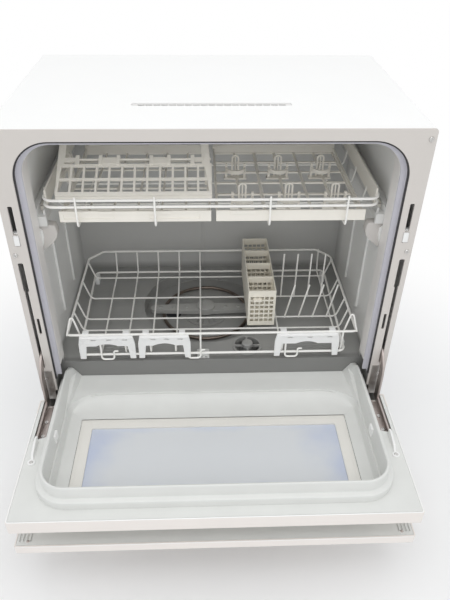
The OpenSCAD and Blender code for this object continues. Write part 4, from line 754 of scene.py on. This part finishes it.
def cup_shelf_mesh():
    """The grid with its lip, clips, side frames, cheeks, rod and hinge pins."""
    work = bmesh.new()
    left_end, right_end = GRID_LEFT - HALF_BAR, GRID_RIGHT + HALF_BAR
    pitch = (GRID_RIGHT - GRID_LEFT) / GRID_CELLS
    for i in range(GRID_CELLS + 1):
        x = GRID_LEFT + i * pitch
        bar(work, x - HALF_BAR, x + HALF_BAR, -2, 49)
    for along, half in CROSS_BARS:
        bar(work, left_end, right_end, along - half, along + half, -1.6, 1.6)
    # Front edge, turned down behind the rail
    near, far = GRID_FRONT - 1.5, GRID_FRONT + 1
    lip = [(near, 478), (far, 478), (far, GRID_FOOT), (near, GRID_FOOT)]
    plate(work, lip, left_end, right_end, side_on)
    # Wide clips with raised ends, and narrow lugs and tabs where the rod ends
    for left, right in CLIPS:
        bar(work, left + 3, right - 3, 50, 61, -1, 2.4)
        for x in (left, right - 5):
            bar(work, x, x + 5, 48, 63, -2.5, 4.5)
    for x in LUGS:
        bar(work, x, x + 5.5, 48, 64, -2, 3.5)
    for left, right in TABS:
        bar(work, left, right, 54, 60.5, -1, 2.6)
    # Side frames that widen towards the top
    for side, foot, head in ((1, -216.4, -217.2), (-1, -0.6, -4.6)):
        outline = [(foot, -1), (foot + side * 3.2, -1), (head + side * 6.2, 44)]
        outline += [(head + side * 10.4, 55), (head + side * 10.4, 88), (head, 88)]
        plate(work, outline, -1.8, 1.8)
    # Base arm and back strut of each cheek, to the hinge
    base = [(58, 484.0), (172, 483), (178, 486), (178, 491), (172, 492), (62, 487.5)]
    strut = [(124, 532), (129, 534), (178, 491), (172, 484)]
    for low, high in ((-217.2, -214.2), (-7.6, -4.6)):
        plate(work, base, low, high, side_on)
        plate(work, strut, low + 0.1, high - 0.1, side_on)
    face_out(work)
    bevel(work, list(work.edges), 0.35)
    sweep(work, [Vector(on_slope(x, ROD_ALONG, 1.0)) for x in ROD_ENDS], 3.2)
    for pin in ((-220.5, -214.0), (-9.0, -2.5)):
        sweep(work, [Vector((x, HINGE_Y, HINGE_Z)) for x in pin], 5.0)
    return to_mesh(work, "cup_shelf")


shelf = smooth(new_object("cup_shelf_grid", cup_shelf_mesh()), "cup_shelf", tray_plastic)
print("cup shelf", len(shelf.data.polygons), "faces")

# %% [markdown]
# The rails end in a moulded step of the tub's wall, which the runner's foot slides over. Its
# underside curves back into the wall, so that the tub leaves its mould.

# %% Rail ends
STEP = [(244, 445), (222.5, 443), (220.5, 438), (219.5, 431), (221.6, 423)]
STEP += [(227.5, 415), (236, 408.5), (241, 404.5), (244, 402)]
STEP_FRONT, STEP_BACK = 47, 62


def face_on(x, z, y):
    """A place for an outline that is drawn as seen from the front."""
    return x, y, z


for side, label in SIDES:
    work = bmesh.new()
    plate(work, [(side * x, z) for x, z in STEP], STEP_FRONT, STEP_BACK, face_on)
    face_out(work)
    bevel(work, list(work.edges), 1.2)
    rail_end = new_object(f"rail_end_{label}", to_mesh(work, "rail_end"))
    dress(rail_end, "tub", rail_plastic)
    rail_end.data.shade_smooth()
print("rail ends")

# %% [markdown]
# The lower rack is deeper. Its rim runs round at one height, the back corners are cut off so
# that it clears the tub's round corners, and rows of leaning tines hold plates. Hooks under
# the front of the rim are its handles.

# %% Lower rack
HALF = 229.0
LOW_FRONT, LOW_BACK = 33.0, 282.0
RIM = 256.0
BASE = 214.0
CUT = 26.0
# The cross wires' ends sink a little towards the back
LEAN = 0.02
CROSS_STEPS = (62, 93, 154, 220)
LONG_WIRES = (-180, -140, -100, -60, -20, 112, 208)
TINES, TINE_X, TINE_PITCH = 4, 127, 24.5
HANDLES, HANDLE_FOOT, HANDLE_END = (-166, -27, 130), 206, 222
FOOT_SOLE = 200.3

rim = [(-HALF, LOW_FRONT, RIM), (-HALF - 1, LOW_FRONT + 14, RIM - 4)]
rim += [(-HALF + 2, LOW_BACK - CUT, RIM), (-HALF + CUT, LOW_BACK, RIM)]
base_loop = [
    (-HALF + 14, LOW_FRONT + 2, BASE),
    (HALF - 14, LOW_FRONT + 2, BASE),
    (HALF - 8, LOW_BACK - 8, BASE),
    (-HALF + 8, LOW_BACK - 8, BASE),
]
lower = [(mirrored(rim), RAIL, 9.0, True), (base_loop, RAIL, 10.0, True)]
for side, _ in SIDES:
    end_wire = [
        (side * HALF, LOW_FRONT, RIM),
        (side * (HALF - 11), LOW_FRONT + 2, RIM + 40),
        (side * (HALF - 20), LOW_FRONT + 8, RIM - 12),
    ]
    lower.append((end_wire, WIRE, 2.5, False))
for step in CROSS_STEPS:
    y = LOW_FRONT + step
    left = [(-HALF + 1, y, RIM - 2 - step * LEAN), (-HALF + 12, y, BASE + 1)]
    lower.append((mirrored(left), WIRE, 10.0, False))
for x in LONG_WIRES:
    long_wire = [
        (x, LOW_FRONT, RIM),
        (x, LOW_FRONT + 4, BASE - 1),
        (x, LOW_BACK - 6, BASE - 1),
        (x, LOW_BACK, RIM),
    ]
    lower.append((long_wire, WIRE, 10.0, False))
for i in range(TINES):
    x = TINE_X + i * TINE_PITCH
    front_tine = [(x, LOW_FRONT + 93, BASE), (x + 14, LOW_FRONT + 96, BASE + 65)]
    back_tine = [(x, LOW_FRONT + 154, BASE), (x + 3, LOW_FRONT + 166, BASE + 83)]
    lower += [(front_tine, WIRE, 4.0, False), (back_tine, WIRE, 4.0, False)]
for x in HANDLES:
    loop = [
        (x - 13, LOW_FRONT, RIM),
        (x - 13, LOW_FRONT - 1, HANDLE_FOOT),
        (x + 7, LOW_FRONT - 1, HANDLE_FOOT),
        (x + 7, LOW_FRONT, HANDLE_END),
        (x + 13, LOW_FRONT, HANDLE_END),
    ]
    lower.append((loop, WIRE, 5.0, False))
lower_wires = wires("lower_rack_wires", "lower_rack_frame", nylon_wire, lower)
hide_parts("lower_rack_frame")
for side, label in SIDES:
    for y, end in ((LOW_FRONT + 24, "front"), (LOW_BACK - 30, "back")):
        low, high = (HALF - 17, y, FOOT_SOLE), (HALF - 9, y + 16, BASE + 1)
        name = f"rack_foot_{end}_{label}"
        block(side, name, "lower_rack_frame", white_plastic, low, high, 1.5)
print("lower rack", len(lower), "wires,", len(lower_wires.data.polygons), "faces")

# %% [markdown]
# The upper door's liner is the most shaped moulding of the machine. A ledge steps up from the
# door's inner face, a wall stands on it and seals in the tub's opening, and inside the wall a
# basin drains the water that runs down the closed door. The wall is one profile swept round
# three sides of the plan. The basin is a stack of closed curves, each lower than the last:
# the wall's foot, the edge of the drop, its bottom and the window's border.

# %% Plan and profile of the liner
LINER = "upper_door_liner"
OPEN_Z = 165.0
LINER_HALF = 246.5
LINER_NEAR = -218.5
LINER_CORNER = 46.5
LINER_END = 33.5
FLOOR_Z = 152.0
RAMP_NEAR, RAMP_FAR = -33.0, -4.5
WINDOW_HALF, WINDOW_NEAR, WINDOW_FAR = 206.0, -196.0, -48.0
# Points along each side, round a near corner and along the near side, and so at the far one
SIDE_STEPS, ARC_STEPS, NEAR_STEPS = 26, 14, 16
FAR_ARC_STEPS, FAR_STEPS = 14, 12


def blend_up(start, end, value):
    """0 below start, 1 above end, and a soft S between."""
    t = max(0.0, min(1.0, (value - start) / (end - start)))
    return t * t * (3 - 2 * t)


def three_sides(half, near, radius, start):
    """A plan line from the far end of the left side, round the near side, to the right end."""
    side = []
    for i in range(SIDE_STEPS):
        side.append((-half, start + (near + radius - start) * i / SIDE_STEPS))
    for i in range(ARC_STEPS):
        angle = math.pi + math.pi / 2 * i / ARC_STEPS
        x, y = radius * math.cos(angle), radius * math.sin(angle)
        side.append((radius - half + x, radius + near + y))
    step = 2 * (half - radius) / NEAR_STEPS
    across = [(radius - half + step * i, near) for i in range(NEAR_STEPS + 1)]
    return side + across + [(-x, y) for x, y in reversed(side)]


def wall_plan(inset):
    """The wall's plan line at an inset."""
    near, radius = LINER_NEAR + inset, LINER_CORNER - inset
    return three_sides(LINER_HALF - inset, near, radius, LINER_END)


def ridge(x, y):
    """How far the side of the apron swells above its middle, beside the wall's foot."""
    rise = 13 * blend_up(-60, 14, y) + 3 * blend_up(14, 34, y)
    inner = 229 - 9 * blend_up(-60, 34, y)
    return rise * blend_up(inner - 1.5, inner + 2.5, abs(x))


def passing(y):
    """The lowest height that clears the lower door's top when both doors are closed."""
    return OPEN_Z + 1.5 * blend_up(-12, 0, y)


def apron(x, y):
    """Height of the liner outside the basin's recess."""
    slope = 2.0 * blend_up(RAMP_FAR, 17, y) + 2.5 * blend_up(17, LINER_END, y)
    return max(OPEN_Z + slope + ridge(x, y), passing(y))


def ramp(y):
    """Height of the basin's floor, which rises to the apron at the far side."""
    share = max(0.0, min(1.0, (y - RAMP_NEAR) / (RAMP_FAR - RAMP_NEAR)))
    return FLOOR_Z + (OPEN_Z - FLOOR_Z) * share


def flare(y):
    """How far the wall's inner face moves inward over its last stretch."""
    return 11 * blend_up(12, LINER_END, y)


# Inset from the plan line and height above the door's inner face, from the outside inward:
# the ledge, the wall that stands on it, and the wall's rounded top
WALL_PROFILE = [(0.0, -2.0), (0.0, 11.2), (0.5, 12.5), (1.6, 13.0), (6.9, 13.1)]
WALL_PROFILE += [(7.8, 13.6), (8.1, 14.8), (8.8, 29.8), (9.2, 31.2)]
WALL_PROFILE += [(10.4, 32.0), (11.8, 31.9), (12.6, 31.0), (12.9, 29.5)]
FOOT_INSET = 15.5
# The ledge is lower than this and further out than that inset
LEDGE_TOP, LEDGE_INSET = 13.2, 7


def wall_point(inset, height, x, y):
    """A point of the wall, with its far end sloping down and flaring inward."""
    if height > LEDGE_TOP:
        drop = 9 * blend_up(14, LINER_END, y) * blend_up(13.5, 30, height)
    elif inset < LEDGE_INSET:
        drop = max(0.0, height) * 0.9 * blend_up(20, 30, y)
    else:
        drop = 0.0
    push = flare(y) * blend_up(10.0, FOOT_INSET, inset)
    return place(x - math.copysign(push, x), y, max(OPEN_Z + height - drop, passing(y)))


print("wall profile of", len(WALL_PROFILE), "corners")

# %% [markdown]
# The rings are all listed in the same order and with as many points, so neighbours join into
# even quads: along the left side, round the near corner, along the near side, and back.
# The far side of each inner ring is closed with two wide arcs.

# %% Rings of the basin
# The length of the far edge's ends, where its points stand as close as on the arcs inside
FAR_CORNER = 50.0
# Each ring: half width, near side, far side, near radius and the far corners' half axes
DROP_TOP = (228.5, -200.5, RAMP_FAR, 29, 58, 34)
DROP_FOOT = (224.2, -196.6, RAMP_FAR - 4.2, 25.5, 53, 30)
FLOOR = (221.5, -196.4, RAMP_NEAR, 23, 50, 1)
BORDER = (WINDOW_HALF, WINDOW_NEAR, WINDOW_FAR, 0.6, 0.6, 0.6)
# Where rings lie between the wall's foot and the edge of the drop
APRON_SHARES = (0, 0.04, 0.12, 0.25, 0.4, 0.55, 0.7, 0.85, 0.96, 1)


def closed_behind(ring, arc):
    """Closes a ring at its far side with an arc, a straight run and the mirrored arc."""
    x, y = arc[-1]
    run = [(x * (1 - 2 * i / FAR_STEPS), y) for i in range(1, FAR_STEPS)]
    return ring + arc + run + [(-x, y) for x, y in reversed(arc)]


def basin_ring(half, near, far, near_r, arc_x, arc_y):
    """A closed plan curve whose far corners are quarter ellipses."""
    turn = [math.pi / 2 * i / FAR_ARC_STEPS for i in range(1, FAR_ARC_STEPS + 1)]
    arc = [(half + arc_x * (math.cos(a) - 1), far + arc_y * (math.sin(a) - 1)) for a in turn]
    return closed_behind(three_sides(half, near, near_r, far - arc_y), arc)


def foot_ring():
    """The wall's foot and the apron's far edge, in the order of the other rings."""
    ring = [(x - math.copysign(flare(y), x), y) for x, y in wall_plan(FOOT_INSET)]
    reach = abs(ring[0][0])
    step = FAR_CORNER / FAR_ARC_STEPS
    arc = [(reach - step * i, LINER_END) for i in range(1, FAR_ARC_STEPS + 1)]
    return closed_behind(ring, arc)


def between(ring_a, ring_b, share):
    """A ring that lies between two others."""
    pairs = zip(ring_a, ring_b)
    return [tuple(p + (q - p) * share for p, q in zip(a, b)) for a, b in pairs]


def liner_mesh():
    """The wall, the apron and the basin as one welded surface."""
    work = bmesh.new()
    rows = []
    for inset, height in WALL_PROFILE:
        line = wall_plan(inset)
        rows.append([work.verts.new(wall_point(inset, height, x, y)) for x, y in line])
    foot = foot_ring()
    basin = (DROP_TOP, DROP_FOOT, FLOOR, BORDER)
    drop_top, drop_foot, floor, border = (basin_ring(*ring) for ring in basin)
    outside = (between(foot, drop_top, share) for share in APRON_SHARES)
    shapes = [[(x, y, apron(x, y)) for x, y in ring] for ring in outside]
    lip = between(drop_top, drop_foot, 0.1)
    low = between(drop_top, drop_foot, 0.85)
    near_low = between(drop_foot, floor, 0.35)
    shapes += [
        [(x, y, max(ramp(y), OPEN_Z - 1.2) if y < 0 else OPEN_Z) for x, y in lip],
        [(x, y, min(OPEN_Z - 0.4, ramp(y) + 1.8)) for x, y in low],
        [(x, y, ramp(y) + 0.3) for x, y in drop_foot],
        [(x, y, ramp(y)) for x, y in near_low],
        [(x, y, FLOOR_Z) for x, y in floor],
        [(x, y, FLOOR_Z) for x, y in border],
    ]
    rings = [[work.verts.new(place(*p)) for p in shape] for shape in shapes]
    open_count = len(rows[0])
    bands(work, rows + [rings[0][:open_count]], closed=False)
    bands(work, rings)
    # The far ends of the wall are closed from the ledge to the foot
    for end in (0, open_count - 1):
        work.faces.new([row[end] for row in rows] + [rings[0][end]])
    bmesh.ops.remove_doubles(work, verts=work.verts, dist=0.02 * MM)
    face_out(work)
    top = max(work.faces, key=lambda f: f.calc_center_median().z)
    if top.normal.z < 0:
        bmesh.ops.reverse_faces(work, faces=work.faces)
    return to_mesh(work, "upper_door_liner_basin")


liner = new_object("liner_basin", liner_mesh())
liner.data.shade_smooth()
liner.data.set_sharp_from_angle(angle=math.radians(50))
dress(liner, LINER, liner_plastic)
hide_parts(LINER)
print("liner", len(liner.data.polygons), "faces")

# %% [markdown]
# Outside the ledge the liner is a flat sheet that closes the door's pan. It is cut out at both
# sides for the hinge channels.

# %% The liner's flat flange
EDGE_X, EDGE_NEAR, EDGE_FAR = 272.7, -234.7, -19.3
RECESS_X, RECESS_OUT, RECESS_Y = 250.0, 268.0, -100.0
TURN_X, TURN_Y = LINER_HALF - LINER_CORNER, LINER_NEAR + LINER_CORNER
SHEET = 3.0


def flange_edge(x, y):
    """The pan's rim opposite a point of the ledge, with its corner for the ledge's bend."""
    if y > TURN_Y:
        return math.copysign(RECESS_X if y > RECESS_Y else EDGE_X, x), y
    if abs(x) <= TURN_X:
        return x, EDGE_NEAR
    share = math.atan2(TURN_Y - y, abs(x) - TURN_X) / (math.pi / 4)
    if share < 1:
        return math.copysign(EDGE_X, x), TURN_Y - (TURN_Y - EDGE_NEAR) * share
    return math.copysign(EDGE_X - (EDGE_X - TURN_X) * (share - 1), x), EDGE_NEAR


def flange_mesh():
    """A flat ring between the ledge and the pan's rim, with its outer edge turned down."""
    work = bmesh.new()
    inner = [p for p in wall_plan(1.0) if p[1] < EDGE_FAR]
    outer = [flange_edge(x, y) for x, y in inner]
    rows = [
        [work.verts.new(place(x, y, z)) for x, y in line]
        for line, z in ((inner, OPEN_Z), (outer, OPEN_Z), (outer, OPEN_Z - SHEET))
    ]
    bands(work, rows, closed=False)
    face_out(work)
    if sum(f.normal.z for f in work.faces) < 0:
        bmesh.ops.reverse_faces(work, faces=work.faces)
    return to_mesh(work, "liner_flange")


flange = new_object("liner_flange", flange_mesh())
flange.data.shade_flat()
dress(flange, LINER, liner_plastic)
for side, label in SIDES:
    low, high = (RECESS_OUT, RECESS_Y, OPEN_Z - SHEET), (EDGE_X, EDGE_FAR, OPEN_Z)
    name = f"liner_edge_{label}"
    block(side, name, LINER, liner_plastic, low, high, 0.3, 2)
print("flange round the liner")

# %% [markdown]
# The doors' outer sheets are folded back on themselves at the rim. The fold gets a paler
# colour, a painted highlight that draws a pale line round each door. A screw holds each end of
# the lower door's pull strip, and a small catch block stands on each side wall of the liner.

# %% Hems, end screws and catch blocks
HEM_HALF, HEM_LENGTH = 273.9, 190
# The front edge and the height of each door's fold
HEMS = {"upper_door_outer": (-235.9, 164.5), "lower_door_outer": (-233.2, 105.8)}
SCREW_X, SCREW_Y, SCREW_ENDS = 257.5, -226.0, (101.0, 104.4)
CATCH = ((230.0, -111, 171), (235.0, -98, 186))
for node, (front, top) in HEMS.items():
    hem = mirrored([(-HEM_HALF, front + HEM_LENGTH, top), (-HEM_HALF, front, top)])
    # The fold's paler colour is a painted highlight
    wires(f"{node}_hem", node, hem_painted_highlight, [(hem, 2.0, 3.0, False)])
for side, label in SIDES:
    screw = [(side * SCREW_X, SCREW_Y, z) for z in SCREW_ENDS]
    wires(f"end_screw_{label}", "lower_door_liner", arm_steel, [(screw, 7.0, 0, False)])
    block(side, f"liner_catch_{label}", LINER, clip_plastic, *CATCH)
print("hems, end screws and catch blocks")

# %% [markdown]
# A worktop and a soft overhead light show the machine as a catalogue does. The floor is pale
# and keeps a faint shadow. The background is plain white where it is seen, also in a gloss or
# through a pane, but what it sheds on the machine is a little softer.

# %% Floor, light and background
WHITE = (1, 1, 1, 1)
SKY, SKY_STRENGTH = (0.98, 0.99, 1.0, 1), 0.8
# In metres: half the floor's side, and where it turns white
REACH = 30.0
FADE_START, FADE_END = 0.32, 0.85


def seen_directly(tree):
    """1 for rays that show the surroundings: to the camera, in a gloss or through a pane."""
    ray = add(tree, "LightPath").outputs
    glossy = maths(tree, "MAXIMUM", ray["Is Glossy Ray"], ray["Is Transmission Ray"])
    return maths(tree, "MAXIMUM", ray["Is Camera Ray"], glossy)


def floor_material():
    """A matt pale floor that keeps the shadow and turns to plain white further out."""
    material, tree, where = new_material("studio_floor")
    values = {"Base Color": linear("#f3f3f3"), "Specular IOR Level": 0.1}
    values["Roughness"] = spread(tree, noise(tree, where, 30), 0.8, 0.9)
    matt = add(tree, "BsdfPrincipled", values).outputs[0]
    white = add(tree, "Emission", {"Color": WHITE, "Strength": 1.0}).outputs[0]
    away = add(tree, "VectorMath", {"operation": "LENGTH", 0: where}).outputs["Value"]
    fade = ranged(tree, away, FADE_START, FADE_END, kind="SMOOTHSTEP")
    share = maths(tree, "MULTIPLY", fade, seen_directly(tree))
    mixed = add(tree, "MixShader", {0: share, 1: matt, 2: white}).outputs[0]
    add(tree, "OutputMaterial", {"Surface": mixed})
    return material


corners = [(-REACH, -REACH, 0), (REACH, -REACH, 0), (REACH, REACH, 0), (-REACH, REACH, 0)]
floor_data = bpy.data.meshes.new("floor")
floor_data.from_pydata(corners, [], [(0, 1, 2, 3)])
floor = new_object("floor", floor_data)
floor.data.materials.append(floor_material())

world = bpy.data.worlds.new("studio")
bpy.context.scene.world = world
world.use_nodes = True
sky = world.node_tree
sky.nodes.clear()
white = add(sky, "Background", {"Color": WHITE, "Strength": 1.0}).outputs[0]
soft = add(sky, "Background", {"Color": SKY, "Strength": SKY_STRENGTH}).outputs[0]
mixed = add(sky, "MixShader", {0: seen_directly(sky), 1: soft, 2: white}).outputs[0]
add(sky, "OutputWorld", {"Surface": mixed})


def area_light(name, at, target, size, watts):
    """A soft box at a point, turned to a target, both in metres."""
    data = bpy.data.lights.new(name, "AREA")
    data.shape = "RECTANGLE"
    data.size, data.size_y = size
    data.energy = watts
    lamp = new_object(name, data)
    lamp.location = at
    aim = Vector(target) - Vector(at)
    lamp.rotation_mode = "QUATERNION"
    lamp.rotation_quaternion = aim.to_track_quat("-Z", "Y")


area_light("overhead_softbox", (0.0, -0.5, 2.2), (0, -0.1, 0.3), (1.8, 1.4), 10)
area_light("front_softbox", (0.1, -2.1, 1.7), (0, 0, 0.35), (1.4, 1.0), 6)
print("studio lit")

# %% [markdown]
# The photograph was taken by someone standing close in front of the machine and looking down
# at it, with a normal phone lens. Place, turn and lens were fitted to the cabinet's edges.

# %% Camera
CAMERA_PLACE = (-0.015, -0.7538, 0.8565)
PITCH, YAW, ROLL = (math.radians(a) for a in (36.13, 2.59, -0.79))
LENS_MM, SENSOR_MM = 35.94, 36.0

ahead = math.cos(PITCH)
forward = Vector((math.sin(YAW) * ahead, math.cos(YAW) * ahead, -math.sin(PITCH)))
level = Vector((math.cos(YAW), -math.sin(YAW), 0))
down = forward.cross(level)
right = level * math.cos(ROLL) + down * math.sin(ROLL)
up = level * math.sin(ROLL) - down * math.cos(ROLL)
camera_data = bpy.data.cameras.new("camera")
camera_data.sensor_width = SENSOR_MM
camera_data.sensor_fit = "AUTO"
camera_data.lens = LENS_MM
camera = new_object("camera", camera_data)
turn = Matrix((right, up, -forward)).transposed().to_4x4()
camera.matrix_world = Matrix.Translation(CAMERA_PLACE) @ turn
bpy.context.scene.camera = camera
bpy.context.scene.view_settings.view_transform = "Standard"
print("camera at", CAMERA_PLACE)
